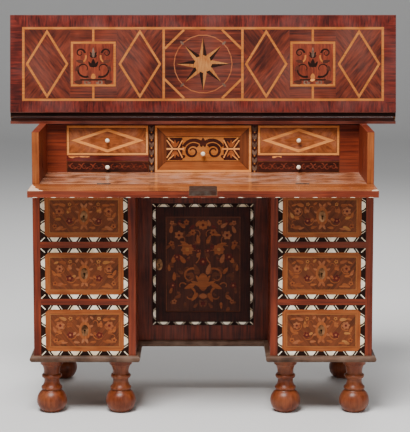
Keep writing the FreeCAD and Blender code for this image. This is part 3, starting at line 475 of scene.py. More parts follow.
def floralField(panel, chance, keyLevel):  # two matched leaves of veneer round the key plate, in a band
    face = drawerFace
    wide, high = [half - face["border"]["depth"] for half in face["half"]]
    drawerBand(panel, (wide, high), face["band"], face["chamfer"])
    wide, high = wide - face["band"], high - face["band"]
    ring(panel, centred(wide, high), *face["string"])
    wide, high = wide - face["string"][0], high - face["string"][0]
    for hand, grain in ((-1, "falling"), (1, "rising")):
        notch, outer = [halfOval(face[key], hand, keyLevel) for key in ("plateHalf", "cartoucheHalf")]
        plate(panel, [(0, high), *notch, (0, -high), (hand * wide, -high), (hand * wide, high)],
              "walnut " + grain, face["groundRise"])
        spray(panel, face, hand, chance)
        plate(panel, notch + outer[::-1], *face["cartouche"])
        for x, y, degrees, length, width in face["cartoucheLeaves"]:
            leaf(panel, (hand * x, keyLevel + y), mirrored(-hand, degrees), length, width,
                 *face["cartoucheLeaf"])


def drawerMarquetry(name, chance):
    panel = newPanel()
    sawtooth(panel, drawerFace["half"], drawerFace["teeth"], drawerFace["border"])
    floralField(panel, chance, 0)
    addPiece(panel, name + "_marquetry", frontOf(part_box(name + "_front")), name)


for hand in ("left", "right"):
    for tier, seed in drawerFace["seeds"].items():
        drawerMarquetry(hand + "_" + tier + "_drawer", random.Random(seed + len(hand)))
print("pedestal drawer marquetry done")

# Cupboard door, sizes in mm: sawtooth round the frame, then a low vase of acanthus scrolls under flowers.
doorFace = {
    "half": (147, 179), "teeth": (6, 7), "ground": (11, "ebony", 0.1), "stringHalf": (108, 140),
    "string": (2, "walnut", 0.34), "seed": 21,
    "border": {"depth": 9, "edge": 1.4, "long": 25, "short": 9, "gap": 5, "line": 1.0, "corner": 2.2},
    "fill": {"count": 44, "across": (6, 97), "up": (-129, 123), "length": (11, 22), "slender": 0.45,
             "rise": 0.3, "woods": ("walnut", "walnut", "padauk")},
    "sway": 12, "bloom": (0.85, 1.1), "leafWoods": ("walnut", "fruitwood", "pearwood", "fruitwood"),
    "scrolls": [(-37, -36, 27, 60, 255, 7, 0.32), (-40, -92, 24, 75, -235, 7, 0.3),
        (-62, -64, 13, 20, 200, 4.6, 0.4), (-30, 28, 26, -70, 210, 3.4, 0.4),
        (-66, 74, 20, -110, 230, 3, 0.4), (-22, 92, 15, -40, 240, 2.8, 0.4)],
    "leaves": [(-12, -30, 112, 34, 13), (-24, -58, 200, 34, 13), (-16, -84, 236, 30, 12),
        (-58, -28, 130, 24, 10), (-66, -92, 215, 22, 10), (-52, -112, 262, 20, 8), (-84, -48, 96, 26, 10),
        (-88, 4, 70, 26, 12), (-52, 4, 120, 28, 12), (-16, 20, 76, 26, 11), (-86, 44, 108, 26, 11),
        (-46, 56, 160, 24, 10), (-12, 62, 100, 26, 11), (-94, 92, 76, 24, 10), (-52, 108, 150, 24, 10),
        (-20, 112, 64, 20, 9), (-76, 118, 176, 20, 8), (-96, -86, 82, 20, 8), (-98, -20, 100, 20, 8),
        (-34, 88, 190, 18, 8)],
    "flowers": [(-46, 44, 19, 8, "fruitwood", "yew"), (-76, 22, 11, 6, "padauk", "pearwood"),
        (-70, 86, 13, 6, "pearwood", "padauk"), (-30, 94, 11, 6, "fruitwood", "padauk"),
        (-88, -62, 10, 5, "padauk", "pearwood"), (-92, 62, 9, 5, "fruitwood", "padauk"),
        (-84, -110, 8, 5, "pearwood", "padauk"), (-48, 124, 8, 5, "fruitwood", "padauk"),
        (-90, 122, 8, 5, "pearwood", "walnut"), (-14, 40, 9, 5, "padauk", "pearwood")],
    "vaseLeaves": {"at": (0, -66), "aims": (0, 32, 64), "shape": (40, 11, "fruitwood", 0.5)},
    "vase": [((0, -52), 30, 52, "fruitwood", 0.55), ((0, -94), 22, 16, "pearwood", 0.55)],
    "middleFlowers": [((0, 116), 15, 8, "fruitwood", "padauk"), ((0, 8), 13, 7, "padauk", "pearwood")],
}


def doorMarquetry(chance):
    face = doorFace
    border, field = newPanel(), newPanel()
    ring(border, centred(*face["half"]), *face["ground"])
    sawtooth(border, face["half"], face["teeth"], face["border"])
    ring(field, centred(*face["stringHalf"]), *face["string"])
    fill = face["fill"]
    for n in range(fill["count"]):  # faint small leaves behind the main ones, matched left and right
        across, up = chance.uniform(*fill["across"]), chance.uniform(*fill["up"])
        aim, length = chance.uniform(0, 360), chance.uniform(*fill["length"])
        look = chance.choice(fill["woods"])
        for hand in (-1, 1):
            leaf(field, (hand * across, up), mirrored(-hand, aim), length, length * fill["slender"], look,
                 fill["rise"])
    for hand in (-1, 1):
        spray(field, face, hand, chance)
        for aim in face["vaseLeaves"]["aims"]:
            leaf(field, face["vaseLeaves"]["at"], 90 - hand * aim, *face["vaseLeaves"]["shape"])
    for part in face["vase"]:
        disc(field, *part)
    for bloom in face["middleFlowers"]:
        flower(field, *bloom)
    low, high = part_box("door_frame")
    addPiece(border, "door_border", frontOf((low, high)), "door")
    low = (low[0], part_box("door_panel")[0][1], low[2])
    addPiece(field, "door_marquetry", frontOf((low, high)), "door")


doorMarquetry(random.Random(doorFace["seed"]))
print("door marquetry done")


def crossband(panel, outer, inner, kind, rise, grains=("", " upright")):  # by half width, foot and top
    for hand in (-1, 1):
        plate(panel, [(hand * outer[0], outer[1]), (hand * outer[0], outer[2]), (hand * inner[0], inner[2]),
                      (hand * inner[0], inner[1])], kind + grains[0], rise)
    for n in (1, 2):
        plate(panel, [(-outer[0], outer[n]), (outer[0], outer[n]), (inner[0], inner[n]),
                      (-inner[0], inner[n])], kind + grains[1], rise)


# Two matched halves inside a string that stands a little proud of them.
def lozenge(panel, middle, half, width, string, halves, rise=0.2, proud=0.04):
    x, y = middle
    top, low, left, right = (x, y + half[1]), (x, y - half[1]), (x - half[0], y), (x + half[0], y)
    plate(panel, [low, top, left], halves[0], rise)
    plate(panel, [low, right, top], halves[1], rise)
    ring(panel, [low, right, top, left], width, string, rise + proud)


def corners(panel, middle, half, kind, rise=0.02):  # four matched corner pieces round a lozenge
    x, y = middle
    for hand in (-1, 1):
        for up in (-1, 1):
            side, end = x + hand * half[0], y + up * half[1]
            plate(panel, [(x, end), (side, end), (side, y)], kind + (" rising" if hand == up else " falling"),
                  rise)


# Compass star: split rays round an octagon, in a ring with four pointers, as shares of the ring or the hub.
starShape = {"rays": 8, "ring": 2.6, "pointer": (0.95, 0.16, 0.08), "octagon": 1.86, "rayRise": 0.03,
             "octagonRise": 0.06}


def compassStar(panel, middle, star, rise):
    rays, upper = starShape["rays"], rise + starShape["rayRise"]
    away, long, wide = [star["circle"] * share for share in starShape["pointer"]]

    def spot(radius, angle):
        return middle[0] + radius * math.cos(angle), middle[1] + radius * math.sin(angle)
    scroll(panel, middle, star["circle"], 0, 360, starShape["ring"], 1, "pearwood", rise)
    for n in range(rays):
        tip = math.radians(90 + n * 360 / rays)
        end = spot(star["short"] if n % 2 else star["long"], tip)
        for hand, look in ((-1, "ebony"), (1, "yew upright")):
            shoulder = spot(star["hub"], tip + hand * math.radians(180 / rays))
            plate(panel, [middle, end, shoulder], look, rise if n % 2 else upper)
        if n % 2:
            leaf(panel, spot(away, tip), math.degrees(tip), long, wide, "wornBeech", upper)
    across = star["hub"] * starShape["octagon"]
    disc(panel, middle, across, across, "yew upright", rise + starShape["octagonRise"], rays)


# Arabesque: a palmette and volutes over a vase of scrolls and leaves, as shares of its half size. Scrolls are
# as on the drawers, with their wood. A leaf has its stalk, its lean from upright, its size and its wood.
arabesque = {
    "scrolls": [
        (0.6, 0.56, 0.22, 90, -430, 0.1, 0.3, "ebony"), (0.62, 0.36, 0.3, 70, 100, 0.08, 0.8, "satinwood"),
        (0.42, -0.16, 0.4, 150, 330, 0.11, 0.35, "ebony"),
        (0.3, -0.76, 0.14, 90, 400, 0.09, 0.4, "wornBeech")],
    "leaves": [
        (0.44, 0.14, 78, 0.36, 0.16, "darkWalnut"), (0.66, -0.02, 150, 0.3, 0.15, "darkWalnut"),
        (0.08, -0.08, 28, 0.3, 0.12, "ebony"), (0.5, -0.78, 84, 0.38, 0.2, "darkWalnut"),
        (0, 0.36, 30, 0.3, 0.11, "ebony"), (0, 0.36, 60, 0.2, 0.11, "ebony")],
    "middleLeaves": [
        (-0.1, 0.4, 0.2, "ebony"), (0.36, 0.46, 0.12, "wornBeech"), (-0.62, 0.26, 0.2, "satinwood")],
    "base": [(-0.6, -0.66), (0.6, -0.66)], "baseWidth": 0.07, "leafRise": 0.02, "middleRise": 0.04,
}


def ornament(panel, middle, size, rise):
    def at(across, up):
        return middle[0] + across * size, middle[1] + up * size
    for hand in (-1, 1):
        for x, y, radius, start, sweep, width, shrink, look in arabesque["scrolls"]:
            scroll(panel, at(hand * x, y), size * radius, 90 + hand * start, hand * sweep, size * width,
                   shrink, look, rise)
        for x, y, lean, length, width, look in arabesque["leaves"]:
            leaf(panel, at(hand * x, y), 90 - hand * lean, size * length, size * width, look,
                 rise + arabesque["leafRise"])
    for y, length, width, look in arabesque["middleLeaves"]:
        if look == "satinwood":  # the base line lies just under the light leaf
            line(panel, *[at(*end) for end in arabesque["base"]], size * arabesque["baseWidth"], "ebony",
                 rise)
        leaf(panel, at(0, y), 90, size * length, size * width, look, rise + arabesque["middleRise"])


# Lid, sizes in mm in its own plane, measured up from its hinge line: crossbanding, string frame, lozenges,
# squares with arabesques, and a compass star. Its inlays stay low, because it shuts 0.3 mm above the case.
lidFace = {
    "axis": (0, 0.0602, 0.821), "openAngle": 96.5, "under": 18.7, "over": 1.0, "veneerRise": 0.02,
    "outer": (558.4, 14, 294), "frame": (524, 46, 260), "string": (6.8, "satinwood", 0.08), "middle": 153,
    "lozenges": (-452, -183, 183, 452), "lozengeHalf": (62, 100), "fine": (6.4, "satinwood"),
    "lozengeRise": 0.03, "cornerHalf": 67, "squares": (-318, 318), "squareHalf": 65, "squareRise": 0.07,
    "ornamentDrop": 4, "ornamentSize": 63.7, "ornamentRise": 0.04, "tieRise": 0.06,
    "upright": (6.8, "satinwood", 0.06), "uprightHalf": 114, "brace": ((111, 56), (55, 1)), "braceRise": 0.05,
    "star": {"hub": 28, "long": 78, "short": 74, "circle": 84}, "chipLook": ("boxwood", 0.03),
    "chip": [(310, 105), (315, 102), (322, 104), (325, 108), (320, 111), (313, 110)],
}
lidTurn = Matrix.Translation(lidFace["axis"]) @ Matrix.Rotation(-math.radians(lidFace["openAngle"]), 4, "X")


def lidMarquetry():
    face = lidFace
    middle, half = face["middle"], face["squareHalf"]
    frameHalf, frameLow, frameHigh = face["frame"]
    low, high = frameLow + face["string"][0], frameHigh - face["string"][0]
    panel = newPanel()
    crossband(panel, face["outer"], face["frame"], "redKingwood", face["veneerRise"])
    ring(panel, rectangle(-frameHalf, frameLow, frameHalf, frameHigh), *face["string"])
    for x in face["lozenges"]:
        look = "kingwood falling" if x < 0 else "kingwood rising"
        corners(panel, (x, middle), (face["cornerHalf"], (high - low) / 2), "kingwood")
        lozenge(panel, (x, middle), face["lozengeHalf"], *face["fine"], (look, look), face["lozengeRise"])
    for x in face["squares"]:
        square = rectangle(x - half, middle - half, x + half, middle + half)
        plate(panel, square, "mahogany upright", face["veneerRise"])
        ring(panel, square, *face["fine"], face["squareRise"])
        ornament(panel, (x, middle - face["ornamentDrop"]), face["ornamentSize"], face["ornamentRise"])
        for start, end in ((low, middle - half), (middle + half, high)):
            line(panel, (x, start), (x, end), *face["fine"], face["tieRise"])
    for hand in (-1, 1):
        x = hand * face["uprightHalf"]
        line(panel, (x, low), (x, high), *face["upright"])
        for edge, way in ((low, 1), (high, -1)):  # braces across the corners of the middle field
            line(panel, *[(hand * x, edge + way * up) for x, up in face["brace"]], *face["fine"],
                 face["braceRise"])
    compassStar(panel, (0, middle), face["star"], face["ornamentRise"])
    plate(panel, face["chip"], *face["chipLook"])
    return panel


def underLid(level):  # the place of a panel that looks down when the lid is shut, so far below the hinge line
    return lidTurn @ (Matrix.Translation((0, 0, -level * mm)) @ Matrix.Diagonal((1, -1, -1, 1)))


# Painted shade in the lid's rebate and on the lip of the fixed half that it shuts on, where the lid's shadow
# falls, in mm.
hingeShade = {"rebate": rectangle(-558.4, 1, 558.4, 12), "rebateLevel": 10.7, "rebateRise": 0.1,
              "lip": rectangle(-558.4, 0.4, 558.4, 11.6), "lipLevel": 810, "lipRise": 0.05}


# Lays one ebony-coloured dark plate as painted shade in the hinge line.
def addPaintedShade(key, name, place, body):
    panel = newPanel()
    plate(panel, hingeShade[key], "ebony", hingeShade[key + "Rise"])
    addPiece(panel, name, place, body)


# Outer faces of the lid and the fixed half, guessed: the same banding with lozenges and a star, sizes in mm.
topFace = {"lid": (-285, -6), "fixed": (6, 261), "half": 548, "band": 30, "bandRise": 0.2, "clear": 4,
           "string": (4.6, "satinwood"), "stringRise": 0.35, "lozenges": (-425, -245, 245, 425),
           "lozengeHalf": 84, "starReach": 92, "starRise": 0.2, "uprightHalf": 140}


def topMarquetry(name, low, high, place, body):
    face = topFace
    half, band, string = face["half"], face["band"], face["string"][0]
    inner, foot, top = half - band, low + band, high - band
    middle = (low + high) / 2
    reach = (high - low) / 2 - band - string - face["clear"]
    panel = newPanel()
    crossband(panel, (half, low, high), (inner, foot, top), "redKingwood", face["bandRise"], ("", " deep"))
    ring(panel, rectangle(-inner, foot, inner, top), *face["string"], face["stringRise"])
    for x in face["lozenges"]:
        lozenge(panel, (x, middle), (face["lozengeHalf"], reach), *face["string"],
                ("kingwood deep", "redKingwood deep"))
    star = {key: value * reach / face["starReach"] for key, value in lidFace["star"].items()}
    compassStar(panel, (0, middle), star, face["starRise"])
    for x in (-face["uprightHalf"], face["uprightHalf"]):
        line(panel, (x, foot + string), (x, top - string), *face["string"])
    addPiece(panel, name, place, body)


topLow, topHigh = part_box("fixed_top")
# Painted shade above and below the lid's foot, on the lid's rebate and on the fixed top's lip.
addPaintedShade("rebate", "lid_rebate_painted_shade", underLid(hingeShade["rebateLevel"]), "lid")
addPaintedShade("lip", "lip_painted_shade", Matrix.Translation((0, topLow[1], hingeShade["lipLevel"] * mm)), "carcass")
addPiece(lidMarquetry(), "lid_marquetry", underLid(lidFace["under"]), "lid")
topMarquetry("lid_outer_marquetry", *topFace["lid"],
             lidTurn @ Matrix.Translation((0, 0, -lidFace["over"] * mm)), "lid")
topMarquetry("fixed_top_marquetry", *topFace["fixed"],
             Matrix.Translation((0, lidFace["axis"][1], topHigh[2])), "carcass")
print("top marquetry done")

# Small drawers, sizes in mm: light banding and a lozenge of burr on the upper pair, dark fronts with hardly
# lighter scrolls on the lower pair, and dark strapwork with volutes on a light ground on the middle one.
smallEdge = 0.6
upperFace = {"band": (6.4, "boxwood", 0.35), "line": (1.2, "ebony", 0.3), "lozengeInset": (12, 8),
             "string": (8.2, "boxwood"), "innerShare": 0.42, "innerLook": ("fruitwood", 0.3)}
lowerFace = {"ground": ("darkRosewood", 0.15), "count": 6, "pitch": 17, "stagger": 1, "radius": 0.62,
             "sweep": 430, "stem": (3, 0.25, "mahogany", 0.3), "leafOut": 6, "leafLean": 40,
             "leaf": (9, 4, "mahogany", 0.32)}
middleFace = {
    "band": (6.4, "boxwood", 0.35), "field": (108, 37), "fieldLook": ("satinwood", 0.2),
    "fieldLine": (1.6, "darkRosewood", 0.35), "frameRise": 0.25, "side": ("walnut upright", 0.28),
    "mitre": (0.9, "darkRosewood", 0.3), "volute": (31, -8), "start": 44,
    "scrolls": [(23, 470, 11, 0.34, "darkRosewood", 0.4), (37, 106, 11, 0.8, "darkRosewood", 0.42)],
    "leaves": [(6, 6, -14, 28, 10), (52, -20, 116, 16, 9)], "leafLook": ("darkRosewood", 0.44),
    "end": (60, 106, 33), "endLook": ("darkRosewood", 0.4), "middleSpan": (56, 107),
    "middleLine": (5, "boxwood", 0.46), "strap": (3.4, "boxwood", 0.48),
    "straps": [((106, 26), (90, 3)), ((60, 26), (72, 3)), ((102, 32), (84, 16))],
    "sprig": (82, 5), "sprigAims": (-34, 0, 34), "sprigLeaf": (22, 6.5, "fruitwood", 0.5),
}


def upperFront(panel, wide, tall):
    face = upperFace
    band, thin = face["band"][0], face["line"][0]
    ring(panel, centred(wide, tall), *face["band"])
    ring(panel, centred(wide - band, tall - band), *face["line"])
    corners(panel, (0, 0), (wide - band - thin, tall - band - thin), "burr")
    half = (wide - face["lozengeInset"][0], tall - face["lozengeInset"][1])
    lozenge(panel, (0, 0), half, *face["string"], ("burr", "burr"))
    x, y = [reach * face["innerShare"] for reach in half]
    plate(panel, [(0, -y), (x, 0), (0, y), (-x, 0)], *face["innerLook"])


def lowerFront(panel, wide, tall):
    face = lowerFace
    plate(panel, centred(wide, tall), *face["ground"])
    for n in range(1, face["count"] + 1):
        way = 1 if n % 2 else -1  # every other scroll is turned over
        for hand in (-1, 1):
            x, y = hand * n * face["pitch"], -way * face["stagger"]
            scroll(panel, (x, y), tall * face["radius"], 90, hand * way * face["sweep"], *face["stem"])
            aim = 90 - hand * 90 + way * face["leafLean"]
            leaf(panel, (x + hand * face["leafOut"], y), aim, *face["leaf"])


def middleFront(panel, wide, tall):
    face = middleFace
    fieldWide, fieldTall = face["field"]
    frameWide, frameTall = wide - face["band"][0], tall - face["band"][0]
    ring(panel, centred(wide, tall), *face["band"])
    crossband(panel, (frameWide, -frameTall, frameTall), (fieldWide, -fieldTall, fieldTall), "fruitwood",
              face["frameRise"], (" upright", ""))
    for hand in (-1, 1):  # the sides of the frame are a darker wood, mitred at the corners
        outside, inside = hand * frameWide, hand * fieldWide
        plate(panel, [(outside, -frameTall), (outside, frameTall), (inside, fieldTall), (inside, -fieldTall)],
              *face["side"])
        for up in (-1, 1):
            line(panel, (outside, up * frameTall), (inside, up * fieldTall), *face["mitre"])
    plate(panel, centred(fieldWide, fieldTall), *face["fieldLook"])
    ring(panel, centred(fieldWide, fieldTall), *face["fieldLine"])
    near, far, high = face["end"]
    voluteX, voluteY = face["volute"]
    sprigX, sprigY = face["sprig"]
    for hand in (-1, 1):
        for radius, sweep, *stem in face["scrolls"]:
            scroll(panel, (hand * voluteX, voluteY), radius, mirrored(hand, face["start"]), -hand * sweep,
                   *stem)
        for x, y, lean, length, width in face["leaves"]:
            leaf(panel, (hand * x, y), 90 - hand * lean, length, width, *face["leafLook"])
        plate(panel, rectangle(hand * near, -high, hand * far, high), *face["endLook"])
        line(panel, *[(hand * x, 0) for x in face["middleSpan"]], *face["middleLine"])
        for up in (-1, 1):
            for ends in face["straps"]:
                line(panel, *[(hand * x, up * y) for x, y in ends], *face["strap"])
            for aim in face["sprigAims"]:
                leaf(panel, (hand * sprigX, up * sprigY), up * 90 + aim, *face["sprigLeaf"])


def smallMarquetry(name):
    low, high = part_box(name)
    wide, tall = [(high[n] - low[n]) / 2 / mm - smallEdge for n in (0, 2)]
    panel = newPanel()
    dress = upperFront if "high" in name else lowerFront if "low" in name else middleFront
    dress(panel, wide, tall)
    addPiece(panel, name + "_marquetry", frontOf((low, high)), name)


for name in sorted(nodes):
    if name.endswith("small_drawer"):
        smallMarquetry(name)
print("small drawer marquetry done")

# Flap, sizes in mm: its underside is the outer face when it is shut, so it is dressed like the drawers below.
flapFace = {"half": (474.4, 71.3), "teeth": (17, 2), "edge": (12.6, "ebony", 0.05),
            "ground": ("walnut", 0.05), "between": (-166, 166), "lozengeHalf": (50, 52),
            "string": (3, "satinwood"), "halves": ("fruitwood deep", "fruitwood"),
            "flower": (16, 8, "padauk", "satinwood"), "fields": (-332, 0, 332), "seed": 30, "keyLevel": 13.9,
            "fieldFlower": (15, 8, "padauk", "satinwood")}


def flapMarquetry(box):
    face = flapFace
    edge = face["edge"][0]
    panel = newPanel()
    ring(panel, centred(*face["half"]), *face["edge"])
    sawtooth(panel, face["half"], face["teeth"], drawerFace["border"])
    plate(panel, centred(face["half"][0] - edge, face["half"][1] - edge), *face["ground"])
    for x in face["between"]:
        lozenge(panel, (x, 0), face["lozengeHalf"], *face["string"], face["halves"])
        flower(panel, (x, 0), *face["flower"])
    under = onBox(box, 2, 0, up=(0, -1, 0))
    addPiece(panel, "flap_marquetry", under, "flap")
    for n, x in enumerate(face["fields"]):
        field = newPanel()
        floralField(field, random.Random(face["seed"] + n), 0 if x else face["keyLevel"])
        if x:  # a flower where the middle field has its keyhole
            flower(field, (0, 0), *face["fieldFlower"])
        place = under @ Matrix.Translation((x * mm, 0, 0))
        addPiece(field, "flap_field_" + str(n + 1), place, "flap")


# Front edge of the flap: a dark strip on each side of the lock and below it, with bits of bone left in it.
flapEdge = {"half": 9, "inset": 0.1, "lockHalf": 38.4, "underLock": 4.4, "end": 474.8,
            "strip": ("mahogany", 0.1), "bits": 9, "bitPitch": 50.5, "bit": (16, 8, 1.1),
            "bitLook": ("inlaidBone", 0.2)}


def flapEdging(box):
    face = flapEdge
    foot, lock = -face["half"], face["lockHalf"]
    base, top, rise = face["bit"]
    panel = newPanel()
    plate(panel, rectangle(-lock, foot + face["inset"], lock, foot + face["underLock"]), *face["strip"])
    for hand in (-1, 1):
        left, right = sorted((hand * lock, hand * face["end"]))
        plate(panel, rectangle(left, foot + face["inset"], right, -foot - face["inset"]), *face["strip"])
        for n in range(1, face["bits"] + 1):
            x = hand * n * face["bitPitch"]
            plate(panel, [(x - base / 2, foot), (x + base / 2, foot), (x + top / 2, foot + rise),
                          (x - top / 2, foot + rise)], *face["bitLook"])
    addPiece(panel, "flap_edging", frontOf(box), "flap")


# Screws of the flap's lock and the pale patches painted as a highlight at the ends of the flap, sizes in mm
# from the middle of each.
flapTop = {"screws": [(-30, -41), (-30, 41), (30, -41), (30, 41)], "head": (6.4, 6.4, "turnedIron", 0.25),
           "slotHalf": (2.6, 1), "slot": (0.9, "ebony", 0.3), "paintedHighlightLook": ("bareLime", 0.05), "wear": [
               [(-474.2, -71), (-431, -71), (-437, -58), (-446, -49), (-449, -30), (-459, -12), (-461, 14),
                (-468, 36), (-474.2, 64)],
               [(474.2, -71), (474.2, -34), (467, -47), (460, -52), (455, -71)]]}


def topOf(box):
    return onBox(box, 2, 1, up=(0, 1, 0))


def flapDetails(box):
    screws, wear = newPanel(), newPanel()
    across, up = flapTop["slotHalf"]
    for x, y in flapTop["screws"]:
        disc(screws, (x, y), *flapTop["head"])
        line(screws, (x - across, y - up), (x + across, y + up), *flapTop["slot"])
    addPiece(screws, "flap_lock_screws", topOf(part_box("flap_lock")), "flap")
    # The wear outlines are pale patches of painted highlight where the top of the flap catches the light.
    for outline in flapTop["wear"]:
        plate(wear, outline, *flapTop["paintedHighlightLook"])
    addPiece(wear, "flap_end_wear", topOf(box), "flap")


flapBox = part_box("flap_board")
flapMarquetry(flapBox)
flapEdging(flapBox)
flapDetails(flapBox)
print("flap marquetry done")

# Nest pilasters, sizes in mm: a small chain of leaves and beads on each.
pilasterFace = {"across": (-150.5, 150.5), "count": 6, "step": 23, "aims": (68, 112), "leafDrop": 7,
                "leaf": (17, 7, "wornBeech", 0.3), "beadDrop": 9, "bead": (4.4, 4.4, "satinwood", 0.4, 10)}


def pilasterInlay():
    face = pilasterFace
    panel = newPanel()
    for x in face["across"]:
        for n in range(face["count"]):
            level = (n - (face["count"] - 1) / 2) * face["step"]
            for aim in face["aims"]:
                leaf(panel, (x, level - face["leafDrop"]), aim, *face["leaf"])
            disc(panel, (x, level - face["beadDrop"]), *face["bead"])
    addPiece(panel, "pilaster_inlay", frontOf(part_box("nest_pilasters")), "carcass")


# Chips that bare the pale ground on the rails under the upper drawers: shares of a drawer's width, and mm.
railChips = {"spans": {"left_high_small_drawer": (0.02, 0.28), "right_high_small_drawer": (0.18, 0.29)},
             "seed": 5, "step": 6, "drop": 2.2, "ragged": 1.4, "depth": (0.8, 5.5), "look": ("boxwood", 0.06)}


def addChips(chance):
    panel = newPanel()
    for name, span in railChips["spans"].items():
        low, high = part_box(name)
        left, right = [(low[0] + share * (high[0] - low[0])) / mm for share in span]
        top = low[2] / mm - railChips["drop"]
        count = round((right - left) / railChips["step"])
        upper = [(left + n * (right - left) / count, top - chance.uniform(0, railChips["ragged"]))
                 for n in range(count + 1)]
        lower = [(x, level - chance.uniform(*railChips["depth"])) for x, level in reversed(upper)]
        plate(panel, lower + upper, *railChips["look"])
    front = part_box("nest_rails")[0][1]
    addPiece(panel, "rail_chips", facing((0, front, 0)), "carcass")


# Upper front edges of the outer sides above the bed, in a lighter wood that is a painted highlight where more
# light falls on them, in mm.
lipping = {"inset": 0.8, "look": ("fruitwood upright", 0.1)}


def addPaintedEdgeHighlight():
    panel = newPanel()
    inset = lipping["inset"]
    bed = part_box("writing_bed")[1][2] / mm
    for name in ("left_outer_side", "right_outer_side"):
        low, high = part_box(name)
        # A lighter strip painted as the light falling on each upper front edge.
        plate(panel, rectangle(low[0] / mm + inset, bed + inset, high[0] / mm - inset, high[2] / mm - inset),
              *lipping["look"])
    addPiece(panel, "side_lipping", facing((0, low[1], 0)), "carcass")


pilasterInlay()
addChips(random.Random(railChips["seed"]))
addPaintedEdgeHighlight()
print("nest trim done")

# Case sides, guessed and kept plain, in mm: crossbanding, a string frame, a lozenge of matched veneer and in
# it a square with an arabesque.
sideFace = {"half": (238, 315), "band": 34, "bandRise": 0.2, "string": (4.6, "satinwood"), "frameRise": 0.4,
            "gap": 26, "halves": ("kingwood deep", "kingwood upright"), "squareHalf": 60, "squareRise": 0.5,
            "ground": ("fruitwood upright", 0.45), "ornament": 46}


def sideMarquetry(name, hand):
    face = sideFace
    string, square = face["string"][0], face["squareHalf"]
    wide, tall = face["half"]
    insideWide, insideTall = wide - face["band"], tall - face["band"]
    panel = newPanel()
    crossband(panel, (wide, -tall, tall), (insideWide, -insideTall, insideTall), "redKingwood",
              face["bandRise"], (" deep", " upright"))
    ring(panel, centred(insideWide, insideTall), *face["string"], face["frameRise"])
    lozenge(panel, (0, 0), (insideWide - string - face["gap"], insideTall - string - face["gap"]),
            *face["string"], face["halves"])
    ring(panel, centred(square, square), *face["string"], face["squareRise"])
    plate(panel, centred(square - string, square - string), *face["ground"])
    ornament(panel, (0, 0), face["ornament"], face["squareRise"])
    place = onBox(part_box(name), 0, hand > 0, right=(0, hand, 0))
    addPiece(panel, name + "_marquetry", place, "carcass")


sideMarquetry("left_outer_side", -1)
sideMarquetry("right_outer_side", 1)
print("side marquetry done")

# Back, guessed: the joints between its three boards and the heads of the nails that hold them, sizes in mm.
backFace = {"joints": (-158.3, 158.3), "joint": (1.8, "ebony", 0.05), "inset": 1, "astray": 4,
            "columns": (-465, -199, 199, 465), "levels": (196, 330, 464, 598, 732),
            "nail": (6, 6, "darkIron", 0.5, 10), "seed": 11}


def backDetails(chance):
    face = backFace
    astray = (-face["astray"], face["astray"])
    low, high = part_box("back_boards")
    panel = newPanel()
    for x in face["joints"]:
        line(panel, (x, low[2] / mm + face["inset"]), (x, high[2] / mm - face["inset"]), *face["joint"])
    for x in face["columns"]:
        for level in face["levels"]:
            disc(panel, (x + chance.uniform(*astray), level + chance.uniform(*astray)), *face["nail"])
    addPiece(panel, "back_joints_and_nails", facing((0, high[1], 0), (-1, 0, 0)), "carcass")


backDetails(random.Random(backFace["seed"]))
print("back done")

# Plain pale floor that rises behind, in metres.
stage = {"front": 11.0, "half": 11.0, "wallBack": 7.0, "curve": 2.0, "steps": 16, "colour": "#d9d8d6",
         "cloud": {"Scale": 1.5, "Detail": 2}, "roughness": (0.7, 0.78)}


# Matt pale paper: an even light ground that takes a soft shadow.
def paperFloor():
    material, tree, place = newMaterial("palePaperFloor")
    cloud = addNode(tree, "TexNoise", {"Vector": place, **stage["cloud"]})
    low, high = stage["roughness"]
    rough = addNode(tree, "MapRange", {"Value": cloud, "To Min": low, "To Max": high})
    surface = addNode(tree, "BsdfPrincipled", {"Base Color": linear(stage["colour"]), "Roughness": rough})
    addNode(tree, "OutputMaterial", {0: surface})
    return material


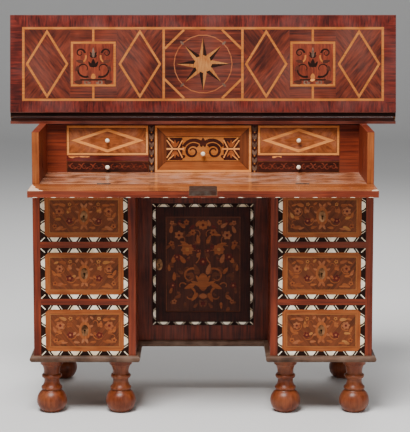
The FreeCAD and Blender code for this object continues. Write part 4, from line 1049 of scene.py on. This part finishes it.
def addStage():
    bm = bmesh.new()
    edge = bm.edges.new([bm.verts.new((x, -stage["front"], 0)) for x in (-stage["half"], stage["half"])])
    grown = bmesh.ops.extrude_edge_only(bm, edges=[edge])["geom"]
    ends = [part for part in grown if isinstance(part, bmesh.types.BMVert)]
    bmesh.ops.translate(bm, vec=(0, stage["front"] + stage["wallBack"], 0), verts=ends)
    bmesh.ops.spin(bm, geom=[bm.edges.get(ends)], cent=(0, stage["wallBack"], stage["curve"]), axis=(1, 0, 0),
                   angle=math.radians(90), steps=stage["steps"])
    bmesh.ops.recalc_face_normals(bm, faces=bm.faces)
    floor = meshObject("floor", bm, [paperFloor()])
    for face in floor.data.polygons:
        face.use_smooth = True


# A broad soft light from above and in front, two weaker ones and a dim even sky. Metres and watts.
lights = {
    "key": {"size": 2.0, "power": 418, "at": (-0.8, -2.2, 4.3), "aim": (0, 0, 0.6)},
    "fill": {"size": 3.0, "power": 32, "at": (2.6, -3.4, 1.6), "aim": (0, 0, 0.5)},
    "back": {"size": 2.5, "power": 68, "at": (0.8, 2.8, 3.0), "aim": (0, 0, 0.6)},
}
sky = {"Color": linear("#e6e8ec"), "Strength": 0.243}


def addLights():
    for name, light in lights.items():
        lamp = bpy.data.lights.new(name, "AREA")
        lamp.size = light["size"]
        lamp.energy = light["power"]
        item = addObject(name, lamp)
        item.location = light["at"]
        item.rotation_euler = (Vector(light["aim"]) - item.location).to_track_quat("-Z", "Y").to_euler()
    world = bpy.data.worlds.new("studio")
    world.use_nodes = True
    for key, value in sky.items():
        world.node_tree.nodes["Background"].inputs[key].default_value = value
    bpy.context.scene.world = world


# The photograph's view: from in front, a little above the raised lid, and slightly down. Metres and degrees,
# with the lens and its shift in pixels of the photograph.
camera = {"at": (0, -5.0346, 1.3), "pitchDown": 6.904, "lensPixels": 1758.9, "framePixels": 432,
          "shift": (1.95, -52), "sensor": 36, "farthest": 50}


def addCamera():
    data = bpy.data.cameras.new("camera")
    data.sensor_width = camera["sensor"]
    data.lens = camera["lensPixels"] / camera["framePixels"] * camera["sensor"]
    data.shift_x = camera["shift"][0] / camera["framePixels"]
    data.shift_y = camera["shift"][1] / camera["framePixels"]
    data.clip_end = camera["farthest"]
    item = addObject("camera", data)
    item.location = camera["at"]
    item.rotation_euler = (math.radians(90 - camera["pitchDown"]), 0, 0)
    bpy.context.scene.camera = item


addStage()
addLights()
addCamera()
print("stage, lights and camera done")
